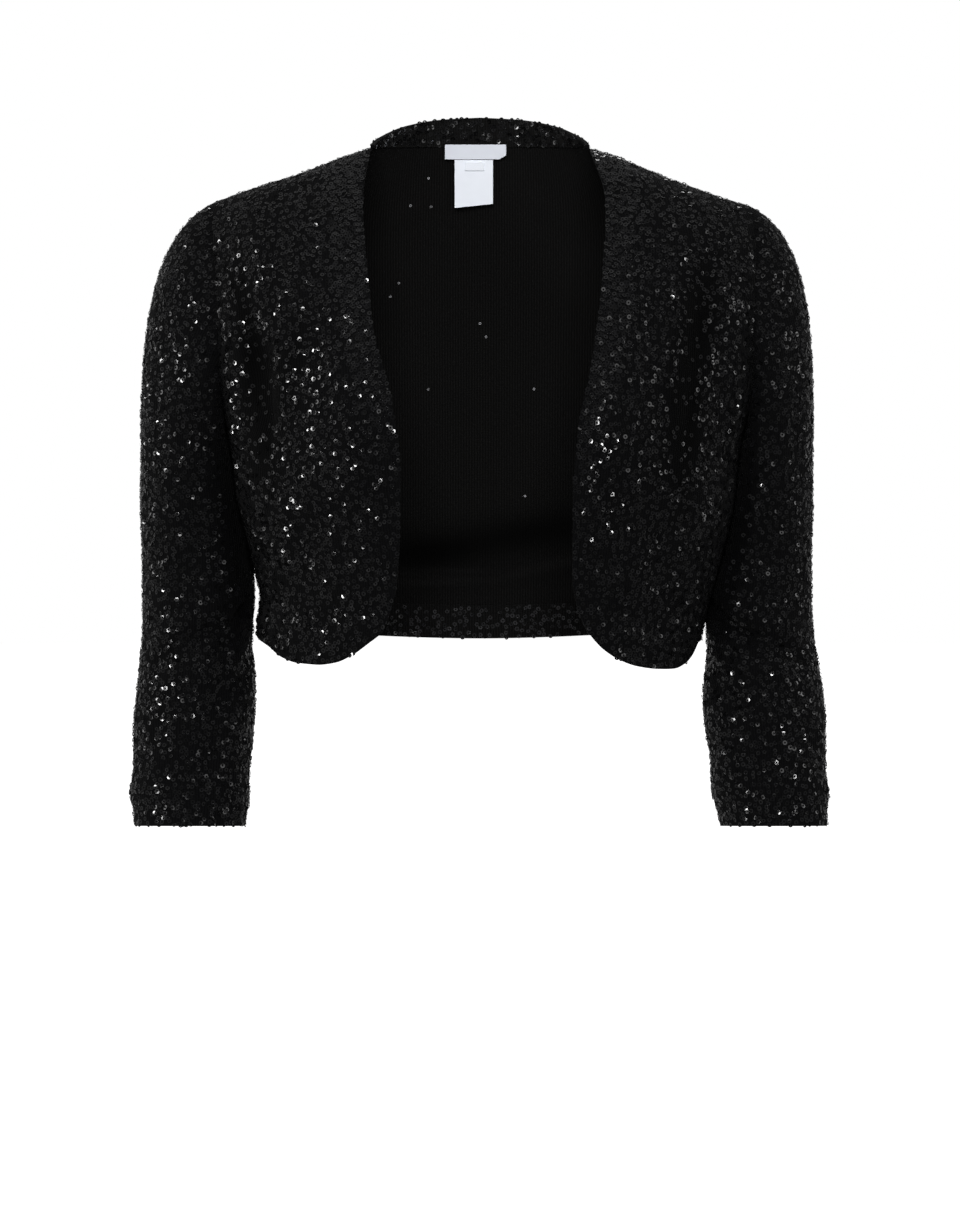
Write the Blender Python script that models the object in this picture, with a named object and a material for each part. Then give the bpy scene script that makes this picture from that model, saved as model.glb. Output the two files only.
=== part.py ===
"""Sequined bolero jacket, filled out as if worn, with nobody in it.

X points to the wearer's left, -Y to the wearer's front and +Z up.
The origin lies between the shoulders, below the side neck points.
Every panel is a loft between unlike sections of one torso form or one arm form.
Sizes below are in millimetres, and MM turns them into metres.
"""

import math
from collections import namedtuple

import bmesh
import bpy
import numpy as np

MM = 0.001

# Walls and seams
CLOTH = 2.0
CUFF_CLOTH = 3.0
BAND_CLOTH = 3.0
FACING_CLOTH = 1.6
LABEL_CLOTH = 0.8
SEAM_HALF = 0.16
SEAM_GAP = 0.3

RIGHT = -1
LEFT = 1
SIDE_NAMES = {RIGHT: "right", LEFT: "left"}
AHEAD = np.array((0.0, -1.0, 0.0))
DOWN = np.array((0.0, 0.0, -1.0))

# Torso form: a squarish oval at each height, with its own half width on each side
TORSO_POWER = 2.5
Torso = namedtuple("Torso", "height right left front back")
TORSO = (
    Torso(-350, 160.0, 157.0, 99, 105),
    Torso(-327, 160.5, 160.0, 101, 104),
    Torso(-301, 159.0, 167.0, 103, 103),
    Torso(-287, 162.5, 171.5, 106, 102),
    Torso(-268, 167.5, 177.0, 109, 101),
    Torso(-246, 173.0, 182.5, 113, 100),
    Torso(-225, 177.0, 185.0, 116, 100),
    Torso(-206, 179.0, 186.5, 117, 100),
    Torso(-187, 181.5, 189.5, 117, 100),
    Torso(-150, 190.0, 199.0, 112, 99),
    Torso(-120, 195.0, 203.5, 103, 97),
    Torso(-90, 198.0, 206.5, 90, 93),
    Torso(-60, 198.0, 205.5, 73, 88),
    Torso(-40, 197.0, 203.0, 58, 84),
)

# The hollow in the torso's side where the sleeve lies against it
Hollow = namedtuple("Hollow", "height depth")
SIDE_HOLLOW = (
    Hollow(-320, 0.0),
    Hollow(-301, 2.0),
    Hollow(-287, 4.0),
    Hollow(-268, 7.0),
    Hollow(-246, 8.0),
    Hollow(-206, 7.5),
    Hollow(-187, 6.0),
)
HOLLOW_DEPTH_AT = 6.0
HOLLOW_SPREAD = 28.0
SWELL_FADE = 1.6
SECTION_SAMPLES = 48

# Soft mounds and hollows of the torso: centre, spread and height outwards
Swell = namedtuple("Swell", "x z spread_x spread_z lean rise")
FRONT_SWELLS = (
    Swell(-92, -178, 34, 44, 0.0, 7.0),
    Swell(96, -178, 34, 44, 0.0, 7.0),
    Swell(-157, -144, 9, 36, 0.05, -7.0),
    Swell(163, -142, 11, 46, -0.08, -5.0),
    Swell(-118, -262, 12, 34, 0.25, -3.0),
    Swell(122, -258, 12, 36, -0.25, -3.0),
)
BACK_SWELLS = (
    Swell(10, -290, 95, 13, 0.11, -7.0),
    Swell(-60, -316, 60, 12, -0.1, 2.5),
    Swell(86, -120, 44, 40, 0.0, 6.0),
    Swell(-86, -120, 44, 40, 0.0, 6.0),
    Swell(0, -190, 20, 80, 0.0, -4.0),
    Swell(-140, -210, 10, 50, 0.12, -4.0),
    Swell(140, -205, 10, 50, -0.12, -4.0),
)

# Shoulder seam: from the side neck point to the shoulder point
Seam = namedtuple("Seam", "right left right_height left_height")
SHOULDER = (
    Seam(78.0, 78.0, 17.0, 17.0),
    Seam(95.5, 95.5, 11.5, 11.5),
    Seam(131.0, 131.0, -2.0, -3.0),
    Seam(165.0, 165.0, -12.5, -15.5),
    Seam(189.5, 192.0, -21.5, -24.0),
)

# Opening edge of each front: distance from the middle at each height
Edge = namedtuple("Edge", "height out")
FRONT_EDGE = {
    RIGHT: (
        Edge(-320, 69.0),
        Edge(-304, 62.5),
        Edge(-290, 58.6),
        Edge(-271, 56.7),
        Edge(-253, 55.6),
        Edge(-205, 55.0),
        Edge(-157, 60.5),
        Edge(-109, 73.5),
        Edge(-72, 77.8),
        Edge(-38, 81.3),
        Edge(-20, 82.3),
        Edge(17, 78.0),
    ),
    LEFT: (
        Edge(-318, 74.4),
        Edge(-300, 67.4),
        Edge(-280, 64.3),
        Edge(-226, 64.2),
        Edge(-177, 67.4),
        Edge(-136, 75.8),
        Edge(-89, 83.4),
        Edge(-56, 86.3),
        Edge(-38, 88.0),
        Edge(-20, 88.0),
        Edge(17, 78.0),
    ),
}

# Front hem from the rounded corner to the side seam
Hem = namedtuple("Hem", "out height")
FRONT_HEM = {
    RIGHT: (
        Hem(69.0, -320.0),
        Hem(76.0, -325.5),
        Hem(89.6, -335.7),
        Hem(101.3, -341.3),
        Hem(115.0, -343.5),
        Hem(129.0, -343.2),
        Hem(141.0, -340.0),
        Hem(150.0, -334.0),
        Hem(161.0, -330.0),
    ),
    LEFT: (
        Hem(74.4, -318.0),
        Hem(86.4, -331.3),
        Hem(99.9, -340.0),
        Hem(112.0, -344.5),
        Hem(128.0, -347.5),
        Hem(141.0, -348.5),
        Hem(149.0, -346.0),
        Hem(154.5, -341.0),
        Hem(158.5, -333.0),
    ),
}
SIDE_HEM = -331.0
BACK_HEM_DROP = 14.0

# Armhole: how far the seam runs to the front and to the back at each height
Armhole = namedtuple("Armhole", "height front back")
ARMHOLE = (
    Armhole(-190, 0.0, 0.0),
    Armhole(-184, 17.0, 19.0),
    Armhole(-174, 28.5, 31.5),
    Armhole(-159, 38.5, 42.0),
    Armhole(-140, 44.0, 47.5),
    Armhole(-120, 46.0, 49.5),
    Armhole(-100, 44.0, 48.0),
    Armhole(-80, 38.5, 43.0),
    Armhole(-60, 30.0, 34.0),
)
YOKE_END = -60.0
UNDERARM = -190.0
YOKE_ROWS = 4
YOKE_REACH_TOP = 0.85
YOKE_REACH_BOTTOM = 0.95
ARMHOLE_ROW_HEIGHTS = (-60, -80, -100, -120, -140, -159, -174, -184, -190)
UNDERARM_ROW = YOKE_ROWS + len(ARMHOLE_ROW_HEIGHTS) - 1
SIDE_ROWS = 12
FRONT_COLUMNS = 14
BACK_HALF_COLUMNS = 14
SHOULDER_COLUMNS = 7

# Back neck seam and the band that stands on it
NECK_HALF = 78.0
NECK_DEPTH = 72.0
NECK_SIDE_HEIGHT = 17.0
NECK_BACK_HEIGHT = 19.0
BAND_END_ANGLE = 88.0
BAND_COLUMNS = 28
BAND_ROWS = 3
BAND_LEAN = 0.10
Band = namedtuple("Band", "angle height")
BAND_HEIGHTS = (
    Band(0, 21.0),
    Band(22, 19.5),
    Band(44, 15.3),
    Band(67, 8.0),
    Band(90, 1.8),
)

# Sleeve: outline to each side, middle, half depth and forward tilt at each height
Sleeve = namedtuple("Sleeve", "height right_out left_out right_in left_in middle depth tilt")
SLEEVE = (
    Sleeve(-205, 243.0, 238.5, 172.0, 179.0, 5.0, 50.0, 0.0),
    Sleeve(-238, 244.0, 239.0, 167.0, 174.0, 7.0, 49.0, 0.0),
    Sleeve(-274, 243.2, 238.7, 163.5, 166.5, 9.0, 46.0, 1.5),
    Sleeve(-303, 243.2, 239.0, 163.1, 162.5, 9.0, 44.5, 4.0),
    Sleeve(-333, 243.6, 240.8, 163.6, 162.7, 7.0, 43.0, 7.0),
    Sleeve(-354, 245.5, 244.2, 162.5, 162.4, 2.5, 42.0, 9.0),
    Sleeve(-375, 247.5, 247.3, 162.3, 160.8, -2.0, 40.5, 9.5),
    Sleeve(-396, 249.3, 248.7, 163.0, 162.2, -6.5, 39.5, 9.5),
    Sleeve(-425, 249.3, 248.6, 165.6, 166.3, -12.5, 38.0, 9.5),
    Sleeve(-437, 250.8, 249.8, 166.2, 166.4, -15.0, 38.0, 9.5),
    Sleeve(-441, 251.8, 250.6, 165.8, 166.6, -16.0, 38.2, 9.5),
    Sleeve(-447, 251.4, 250.6, 165.9, 168.0, -17.0, 38.0, 9.5),
    Sleeve(-454, 249.4, 249.4, 167.0, 170.0, -18.5, 37.2, 9.5),
    Sleeve(-467, 248.0, 249.2, 168.9, 173.0, -21.0, 36.5, 9.5),
)
SLEEVE_POWER = 2.25
ARM_RADIUS = 42.0
SLEEVE_TOP = -205.0
SLEEVE_END = -437.0
CUFF_END = -467.0
CAP_RINGS = 7
SLEEVE_RINGS = 16
CUFF_RINGS = 4
SLEEVE_CLEAR = 1.2
CLEAR_FADE = 8.0
CAP_REACH_TOP = 0.85
CAP_REACH_BOTTOM = 1.2

# Creases of a sleeve: a soft groove between two points on its surface
Crease = namedtuple("Crease", "angle_from height_from angle_to height_to spread rise")
SLEEVE_CREASES = (
    Crease(55, -352, 150, -318, 10.0, -4.5),
    Crease(60, -333, 160, -300, 9.0, 2.5),
    Crease(120, -380, 175, -345, 9.0, -3.0),
    Crease(200, -330, 300, -352, 10.0, -4.0),
    Crease(95, -130, 60, -200, 10.0, -3.0),
    Crease(265, -130, 300, -205, 10.0, -3.0),
)

# Facing turned up inside the back hem, and the labels below the neck band
FACING_HEIGHT = 24.0
FACING_ROWS = 2
FACING_SKIP = 1
Label = namedtuple("Label", "name left right top bottom_left bottom_right stand")
LABELS = (
    Label("label_main", -25.5, 19.0, 20.5, 9.8, 9.8, 0.0),
    Label("label_care", -18.5, 9.5, 9.4, -25.5, -22.5, 0.0),
    Label("label_size", -11.0, 3.0, 7.6, 1.6, 1.6, 1.15),
)
LABEL_FOOT_GAP = 0.5
LABEL_WALL_GAP = 0.35
LABEL_SLOPE = 0.12
LABEL_PATCH = 5
LABEL_COLUMNS = 6
LABEL_ROWS = 4

Finish = namedtuple("Finish", "red green blue roughness")
BLACK_SEQUIN = Finish(0.012, 0.012, 0.014, 0.35)
WHITE_SATIN = Finish(0.82, 0.85, 0.90, 0.55)


def smooth(table, at, column, where):
    """Read a column of a table at one place or many, on a smooth monotone curve."""
    rows = sorted(table, key=lambda row: getattr(row, at))
    xs = np.array([getattr(row, at) for row in rows], dtype=float)
    ys = np.array([getattr(row, column) for row in rows], dtype=float)
    steps = np.diff(xs)
    slopes = np.diff(ys) / steps
    tangents = np.zeros(len(xs))
    tangents[0] = slopes[0]
    tangents[-1] = slopes[-1]
    for i in range(1, len(xs) - 1):
        if slopes[i - 1] * slopes[i] > 0:
            tangents[i] = 2 * slopes[i - 1] * slopes[i] / (slopes[i - 1] + slopes[i])
    where = np.clip(np.asarray(where, dtype=float), xs[0], xs[-1])
    index = np.clip(np.searchsorted(xs, where) - 1, 0, len(steps) - 1)
    t = (where - xs[index]) / steps[index]
    step = steps[index]
    rise = (1 + 2 * t) * (1 - t) ** 2 * ys[index] + t * t * (3 - 2 * t) * ys[index + 1]
    lean = t * (1 - t) ** 2 * tangents[index] - t * t * (1 - t) * tangents[index + 1]
    return rise + step * lean


def unit(vectors):
    """Scale vectors to length one."""
    lengths = np.linalg.norm(vectors, axis=-1, keepdims=True)
    return vectors / np.maximum(lengths, 1e-9)


def hermite(start, start_lean, end, end_lean, t):
    """A cubic curve between two points with a lean at each end."""
    return ((1 + 2 * t) * (1 - t) ** 2 * start + t * (1 - t) ** 2 * start_lean
            + t * t * (3 - 2 * t) * end - t * t * (1 - t) * end_lean)


def swell_rise(swells, x, z):
    """How far the soft mounds and hollows lift the torso at a place."""
    total = 0.0
    for swell in swells:
        across = x - swell.x
        along = z - swell.z
        if swell.spread_x > swell.spread_z:
            along -= swell.lean * (x - swell.x)
        else:
            across -= swell.lean * (z - swell.z)
        total += swell.rise * math.exp(
            -(across / swell.spread_x) ** 2 - (along / swell.spread_z) ** 2)
    return total


def torso_widths(side, z):
    """Half width, front depth and back depth of the torso form at a height."""
    width = smooth(TORSO, "height", SIDE_NAMES[side], z)
    front = smooth(TORSO, "height", "front", z)
    back = smooth(TORSO, "height", "back", z)
    return width, front, back


def torso_point(side, angle, z):
    """A point on the torso; the angle is 0 in front, 90 at the side and 180 behind."""
    width, front, back = torso_widths(side, z)
    power = 2 / TORSO_POWER
    turn = math.radians(angle)
    across = abs(math.sin(turn)) ** power
    along = abs(math.cos(turn)) ** power
    x = side * width * across
    y = -front * along if angle < 90 else back * along
    swells = FRONT_SWELLS if angle < 90 else BACK_SWELLS
    facing = min(1.0, along * SWELL_FADE)
    rise = swell_rise(swells, x, z) * facing
    y += -rise if angle < 90 else rise
    hollow = float(smooth(SIDE_HOLLOW, "height", "depth", z))
    x -= side * hollow * math.exp(-((y - HOLLOW_DEPTH_AT) / HOLLOW_SPREAD) ** 2)
    return np.array((x, y, z))


def torso_side(side, y, z):
    """How far out the torso's side lies at a depth and height."""
    width, front, back = torso_widths(side, z)
    depth = np.where(y < 0, front, back)
    share = np.clip(np.abs(y) / depth, 0, 0.999)
    out = width * (1 - share ** TORSO_POWER) ** (1 / TORSO_POWER)
    hollow = smooth(SIDE_HOLLOW, "height", "depth", z)
    return out - hollow * np.exp(-((y - HOLLOW_DEPTH_AT) / HOLLOW_SPREAD) ** 2)


def edge_angle(side, z):
    """Angle of the front's opening edge on the torso form."""
    out = float(smooth(FRONT_EDGE[side], "height", "out", z))
    width = float(torso_widths(side, z)[0])
    return math.degrees(math.asin((out / width) ** (TORSO_POWER / 2)))


def side_angle(side, z, behind):
    """Angle of the armhole, or of the side seam below it."""
    if z <= UNDERARM:
        return 90.0
    width, front, back = torso_widths(side, z)
    run = float(smooth(ARMHOLE, "height", "back" if behind else "front", z))
    depth = float(back if behind else front)
    off = math.degrees(math.acos(min(1.0, (run / depth) ** (TORSO_POWER / 2))))
    return 180 - off if behind else off


def section(side, start, end, z_at, fractions):
    """Points at even steps of length along a stretch of the torso's section."""
    found = []
    for fraction, z in zip(fractions, z_at):
        first = start(z)
        last = end(z)
        angles = np.linspace(first, last, SECTION_SAMPLES)
        line = np.array([torso_point(side, angle, z) for angle in angles])
        steps = np.linalg.norm(np.diff(line, axis=0), axis=1)
        run = np.concatenate(([0.0], np.cumsum(steps)))
        goal = fraction * run[-1]
        angle = float(np.interp(goal, run, angles))
        found.append(torso_point(side, angle, z))
    return np.array(found)


def shoulder_point(side, fraction):
    """A point of the shoulder seam, from the neck at 0 to the armhole at 1."""
    place = fraction * (len(SHOULDER) - 1)
    name = SIDE_NAMES[side]
    outs = [getattr(seam, name) for seam in SHOULDER]
    heights = [getattr(seam, name + "_height") for seam in SHOULDER]
    run = np.interp(place, range(len(SHOULDER)), outs)
    height = np.interp(run, outs, heights)
    return np.array((side * run, 0.0, height))


def yoke_column(start, start_lean, end, below, rows=YOKE_ROWS):
    """Rows of one column over the shoulder, from a seam down to the chest line."""
    chord = np.linalg.norm(end - start)
    first = start_lean * chord * YOKE_REACH_TOP
    last = unit(below - end) * chord * YOKE_REACH_BOTTOM
    return [hermite(start, first, end, last, t) for t in np.linspace(0, 1, rows + 1)]


def row_heights(hem):
    """Heights of the rows below the chest line, down to a column's own hem."""
    low = UNDERARM + (hem - UNDERARM) * np.arange(1, SIDE_ROWS + 1) / SIDE_ROWS
    return np.concatenate((ARMHOLE_ROW_HEIGHTS, low))


def front_outer(side):
    """Outer points of one front, by rows from the shoulder and columns from the opening."""
    fractions = (np.arange(FRONT_COLUMNS + 1) / FRONT_COLUMNS) ** 1.12
    corner = min(edge.height for edge in FRONT_EDGE[side])
    corner_out = FRONT_HEM[side][0].out
    columns = []
    for fraction in fractions:
        hem_place = section(side, lambda z: edge_angle(side, z), lambda z: 90.0,
                            [corner], [fraction])[0]
        out = max(corner_out, abs(hem_place[0]))
        hem = float(smooth(FRONT_HEM[side], "out", "height", out))
        heights = row_heights(hem)
        body = section(side, lambda z: edge_angle(side, z),
                       lambda z: side_angle(side, z, False),
                       heights, [fraction] * len(heights))
        top = shoulder_point(side, fraction)
        yoke = yoke_column(top, AHEAD, body[0], body[1])
        columns.append(yoke[:-1] + list(body))
    grid = np.array(columns).transpose(1, 0, 2)
    for row in range(1, YOKE_ROWS):
        wanted = side * float(smooth(FRONT_EDGE[side], "height", "out", grid[row, 0, 2]))
        shift = wanted - grid[row, 0, 0]
        grid[row, :, 0] += shift * (1 - fractions) ** 2
    return grid


def neck_seam(angle):
    """A point of the back neck seam; 0 is the middle of the back, 90 the side."""
    turn = math.radians(angle)
    share = math.cos(turn)
    height = NECK_SIDE_HEIGHT + (NECK_BACK_HEIGHT - NECK_SIDE_HEIGHT) * share
    return np.array((NECK_HALF * math.sin(turn), NECK_DEPTH * share, height))


def back_half_outer(side):
    """Outer points of one half of the back, by columns from the side to the middle."""
    columns = []
    for column in range(BACK_HALF_COLUMNS + 1):
        fraction = column / BACK_HALF_COLUMNS
        side_share = abs(math.cos(math.radians(90 + 90 * fraction)))
        hem = SIDE_HEM - BACK_HEM_DROP * side_share ** 1.4
        heights = row_heights(hem)
        body = section(side, lambda z: side_angle(side, z, True), lambda z: 180.0,
                       heights, [fraction] * len(heights))
        if column <= SHOULDER_COLUMNS:
            top = shoulder_point(side, 1 - column / SHOULDER_COLUMNS)
            lean = -AHEAD
        else:
            share = (column - SHOULDER_COLUMNS) / (BACK_HALF_COLUMNS - SHOULDER_COLUMNS)
            turn = math.radians(90 * (1 - share))
            top = neck_seam(90 * (1 - share))
            top[0] *= side
            drop = share ** 0.7
            lean = unit(np.array((side * 0.3 * math.sin(turn) * share,
                                  1.0 - 0.75 * drop, -0.97 * drop)))
        yoke = yoke_column(top, lean, body[0], body[1])
        columns.append(yoke[:-1] + list(body))
    return np.array(columns).transpose(1, 0, 2)


def back_outer():
    """Outer points of the whole back, from the right side to the left side."""
    right = back_half_outer(RIGHT)
    left = back_half_outer(LEFT)
    return np.concatenate((right, left[:, -2::-1]), axis=1)


def inward(grid, away_from, closed=False):
    """Directions into the cloth at every point of a grid, away from the outer side."""
    if closed:
        across = np.roll(grid, -1, axis=1) - np.roll(grid, 1, axis=1)
    else:
        across = np.gradient(grid, axis=1)
    along = np.gradient(grid, axis=0)
    normals = unit(np.cross(across, along))
    middle = away_from(grid)
    if np.sum(normals * (middle - grid)) < 0:
        normals = -normals
    return normals


def torso_axis(grid):
    """The torso's middle line at each point's height."""
    middle = np.zeros_like(grid)
    middle[..., 2] = np.minimum(grid[..., 2], YOKE_END)
    return middle


def armhole_frame(side, front, back):
    """The armhole loop with its inward and outward directions."""
    last = UNDERARM_ROW
    loop = np.concatenate((front[:last + 1, -1], back[last - 1:0:-1, 0]))
    into = unit(loop.mean(axis=0) - loop)
    tangent = unit(np.roll(loop, -1, axis=0) - np.roll(loop, 1, axis=0))
    out = unit(np.cross(tangent, into))
    if out[:, 0].sum() * side < 0:
        out = -out
    return loop, into, out


def closed_loft(name, outer, inner, ring, finish, collection):
    """One solid wall between an outer and an inner grid of points."""
    rows, columns = outer.shape[:2]
    mesh = bpy.data.meshes.new(name)
    model = bmesh.new()
    layers = []
    for grid in (outer, inner):
        layers.append([[model.verts.new(point * MM) for point in row] for row in grid])
    spans = columns if ring else columns - 1
    for flip, layer in enumerate(layers):
        for i in range(rows - 1):
            for j in range(spans):
                k = (j + 1) % columns
                corners = (layer[i][j], layer[i + 1][j], layer[i + 1][k], layer[i][k])
                model.faces.new(corners if flip == 0 else corners[::-1])
    skin, lining = layers
    for j in range(spans):
        k = (j + 1) % columns
        model.faces.new((skin[0][k], lining[0][k], lining[0][j], skin[0][j]))
        model.faces.new((skin[-1][j], lining[-1][j], lining[-1][k], skin[-1][k]))
    if not ring:
        for i in range(rows - 1):
            model.faces.new((skin[i][0], lining[i][0], lining[i + 1][0], skin[i + 1][0]))
            model.faces.new((skin[i + 1][-1], lining[i + 1][-1], lining[i][-1], skin[i][-1]))
    bmesh.ops.recalc_face_normals(model, faces=model.faces)
    bmesh.ops.triangulate(model, faces=model.faces)
    model.to_mesh(mesh)
    model.free()
    mesh.shade_smooth()
    mesh.set_sharp_from_angle(angle=math.radians(40))
    mesh.materials.append(material(name, finish))
    piece = bpy.data.objects.new(name, mesh)
    collection.objects.link(piece)
    return piece


def material(name, finish):
    """A plain shader with the piece's colour and roughness."""
    made = bpy.data.materials.new(name)
    made.use_nodes = True
    shader = made.node_tree.nodes["Principled BSDF"]
    shader.inputs["Base Color"].default_value = (finish.red, finish.green, finish.blue, 1)
    shader.inputs["Roughness"].default_value = finish.roughness
    shader.inputs["Metallic"].default_value = 0.0
    return made


def torso_panels(collection):
    """The two fronts and the back, and the armhole loops for the sleeves."""
    armholes = {}
    low = UNDERARM_ROW
    back = back_outer()
    back_into = inward(back, torso_axis)
    for side in (RIGHT, LEFT):
        front = front_outer(side)
        into = inward(front, torso_axis)
        half = back if side == RIGHT else back[:, ::-1]
        half_into = back_into if side == RIGHT else back_into[:, ::-1]
        loop, loop_into, loop_out = armhole_frame(side, front, half)
        armholes[side] = (loop, loop_into, loop_out)

        into[0] = DOWN
        into[low:, -1] = (-side, 0.0, 0.0)
        into[:low + 1, -1] = loop_into[:low + 1]
        front[:low + 1, -1] -= loop_out[:low + 1] * SEAM_HALF
        front[0] += AHEAD * SEAM_HALF
        front[low:, -1] += AHEAD * SEAM_HALF

        half_into[0, :SHOULDER_COLUMNS + 1] = DOWN
        half_into[low:, 0] = (-side, 0.0, 0.0)
        around = [0] + list(range(len(loop) - 1, low - 1, -1))
        half_into[:low + 1, 0] = loop_into[around]
        half[:low + 1, 0] -= loop_out[around] * SEAM_HALF
        half[0, :SHOULDER_COLUMNS + 1] -= AHEAD * SEAM_HALF
        half[low:, 0] -= AHEAD * SEAM_HALF
        closed_loft("front_" + SIDE_NAMES[side], front, front + into * CLOTH, False,
                    BLACK_SEQUIN, collection)
    closed_loft("back", back, back + back_into * CLOTH, False, BLACK_SEQUIN, collection)
    return armholes, back, back_into


def sleeve_row(side, z):
    """Middle, half width, half depth and tilt of the sleeve at a height."""
    name = SIDE_NAMES[side]
    out = float(smooth(SLEEVE, "height", name + "_out", z))
    inner = float(smooth(SLEEVE, "height", name + "_in", z))
    middle = float(smooth(SLEEVE, "height", "middle", z))
    depth = float(smooth(SLEEVE, "height", "depth", z))
    tilt = float(smooth(SLEEVE, "height", "tilt", z))
    return (out + inner) / 2, (out - inner) / 2, middle, depth, tilt


def crease_rise(angle, z):
    """How far the creases lift the sleeve at an angle and height."""
    total = 0.0
    for crease in SLEEVE_CREASES:
        start = np.array((math.radians(crease.angle_from) * ARM_RADIUS, crease.height_from))
        end = np.array((math.radians(crease.angle_to) * ARM_RADIUS, crease.height_to))
        place = np.array((math.radians(angle) * ARM_RADIUS, z))
        run = end - start
        t = float(np.dot(place - start, run) / np.dot(run, run))
        near = start + run * min(1.0, max(0.0, t))
        far = np.linalg.norm(place - near)
        total += crease.rise * math.exp(-(far / crease.spread) ** 2)
    return total


def sleeve_ring(side, z, count):
    """One ring of the sleeve; the angle is 0 outside, 90 in front and 180 inside."""
    centre, width, middle, depth, tilt = sleeve_row(side, z)
    power = 2 / SLEEVE_POWER
    ring = []
    for step in range(count):
        angle = 360 * step / count
        turn = math.radians(angle)
        across = math.copysign(abs(math.cos(turn)) ** power, math.cos(turn))
        ahead = math.copysign(abs(math.sin(turn)) ** power, math.sin(turn))
        rise = crease_rise(angle, z)
        reach_x = (width + rise) * across
        reach_y = (depth + rise) * ahead
        lift = math.tan(math.radians(tilt)) * reach_y
        ring.append((side * (centre + reach_x), middle - reach_y, z + lift))
    return np.array(ring)


def clear_of_torso(side, points):
    """Push points of a sleeve out to where they just clear the torso's side."""
    y = points[:, 1]
    z = points[:, 2]
    fade = np.clip((UNDERARM - z) / CLEAR_FADE, 0.0, 1.0)
    least = torso_side(side, y, np.minimum(z, UNDERARM)) + SLEEVE_CLEAR * fade
    low = z < UNDERARM
    out = side * points[:, 0]
    points[:, 0] = side * np.where(low, np.maximum(out, least), out)
    return points


def sleeve_outer(side, armhole):
    """Outer rings of a sleeve from the armhole to the cuff seam."""
    loop, into, out = armhole
    count = len(loop)
    top = clear_of_torso(side, sleeve_ring(side, SLEEVE_TOP, count))
    starts = loop + out * SEAM_HALF
    rings = [starts]
    leans = []
    for step in range(count):
        turn = 2 * math.pi * step / count
        share = (1 + math.cos(turn)) / 2
        leans.append((side * (0.10 + 0.80 * share ** 0.7), -0.42 * math.sin(turn),
                      -(1.0 - 0.58 * share)))
    leans = unit(np.array(leans))
    chords = np.linalg.norm(top - starts, axis=1, keepdims=True)
    for ring in range(1, CAP_RINGS):
        t = ring / CAP_RINGS
        points = hermite(starts, leans * chords * CAP_REACH_TOP,
                         top, DOWN * chords * CAP_REACH_BOTTOM, t)
        rings.append(clear_of_torso(side, points))
    rings.append(top)
    for ring in range(1, SLEEVE_RINGS + 1):
        z = SLEEVE_TOP + (SLEEVE_END - SLEEVE_TOP) * ring / SLEEVE_RINGS
        rings.append(clear_of_torso(side, sleeve_ring(side, z, count)))
    return np.array(rings)


def ring_middles(grid):
    """The middle of each ring."""
    return np.repeat(grid.mean(axis=1, keepdims=True), grid.shape[1], axis=1)


def sleeve_and_cuff(side, armhole, collection):
    """One sleeve and the cuff turned up at its end."""
    loop, loop_into, loop_out = armhole
    outer = sleeve_outer(side, armhole)
    into = inward(outer, ring_middles, closed=True)
    into[0] = loop_into
    name = SIDE_NAMES[side]
    closed_loft("sleeve_" + name, outer, outer + into * CLOTH, True, BLACK_SEQUIN, collection)
    heights = np.linspace(SLEEVE_END - SEAM_GAP, CUFF_END, CUFF_RINGS + 1)
    rings = np.array([sleeve_ring(side, z, len(loop)) for z in heights])
    cuff_into = inward(rings, ring_middles, closed=True)
    closed_loft("cuff_" + name, rings, rings + cuff_into * CUFF_CLOTH, True,
                BLACK_SEQUIN, collection)


def neck_band(collection):
    """The doubled band that stands at the back neck."""
    angles = np.linspace(-BAND_END_ANGLE, BAND_END_ANGLE, BAND_COLUMNS + 1)
    rows = []
    for row in range(BAND_ROWS + 1):
        share = row / BAND_ROWS
        line = []
        for angle in angles:
            turn = math.radians(angle)
            foot = neck_seam(angle)
            height = float(smooth(BAND_HEIGHTS, "angle", "height", abs(angle)))
            lean = -BAND_LEAN * height * share
            outward = np.array((math.sin(turn), math.cos(turn), 0.0))
            rise = np.array((0.0, 0.0, SEAM_GAP + height * share))
            line.append(foot + outward * lean + rise)
        rows.append(line)
    outer = np.array(rows)[::-1]
    into = inward(outer, lambda grid: grid * np.array((0.0, 0.0, 1.0)))
    closed_loft("neck_band", outer, outer + into * BAND_CLOTH, False, BLACK_SEQUIN, collection)


def hem_facing(back, into, collection):
    """The hem of the back turned up inside, on the panel's own points."""
    columns = slice(FACING_SKIP, back.shape[1] - FACING_SKIP)
    hem = back[-1, columns]
    hem_into = into[-1, columns]
    row_step = (back[-2, columns, 2] - hem[:, 2]).mean()
    rows = []
    rows_into = []
    for row in range(FACING_ROWS, -1, -1):
        share = row / FACING_ROWS * FACING_HEIGHT / row_step
        low = min(int(share), back.shape[0] - 2)
        part = share - low
        upper = back[-2 - low, columns]
        lower = back[-1 - low, columns]
        rows.append(lower + (upper - lower) * part)
        upper_into = into[-2 - low, columns]
        lower_into = into[-1 - low, columns]
        rows_into.append(unit(lower_into + (upper_into - lower_into) * part))
    rows = np.array(rows)
    rows_into = np.array(rows_into)
    near = rows + rows_into * (CLOTH + SEAM_GAP)
    far = near + rows_into * FACING_CLOTH
    closed_loft("hem_facing", near, far, False, BLACK_SEQUIN, collection)


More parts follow.
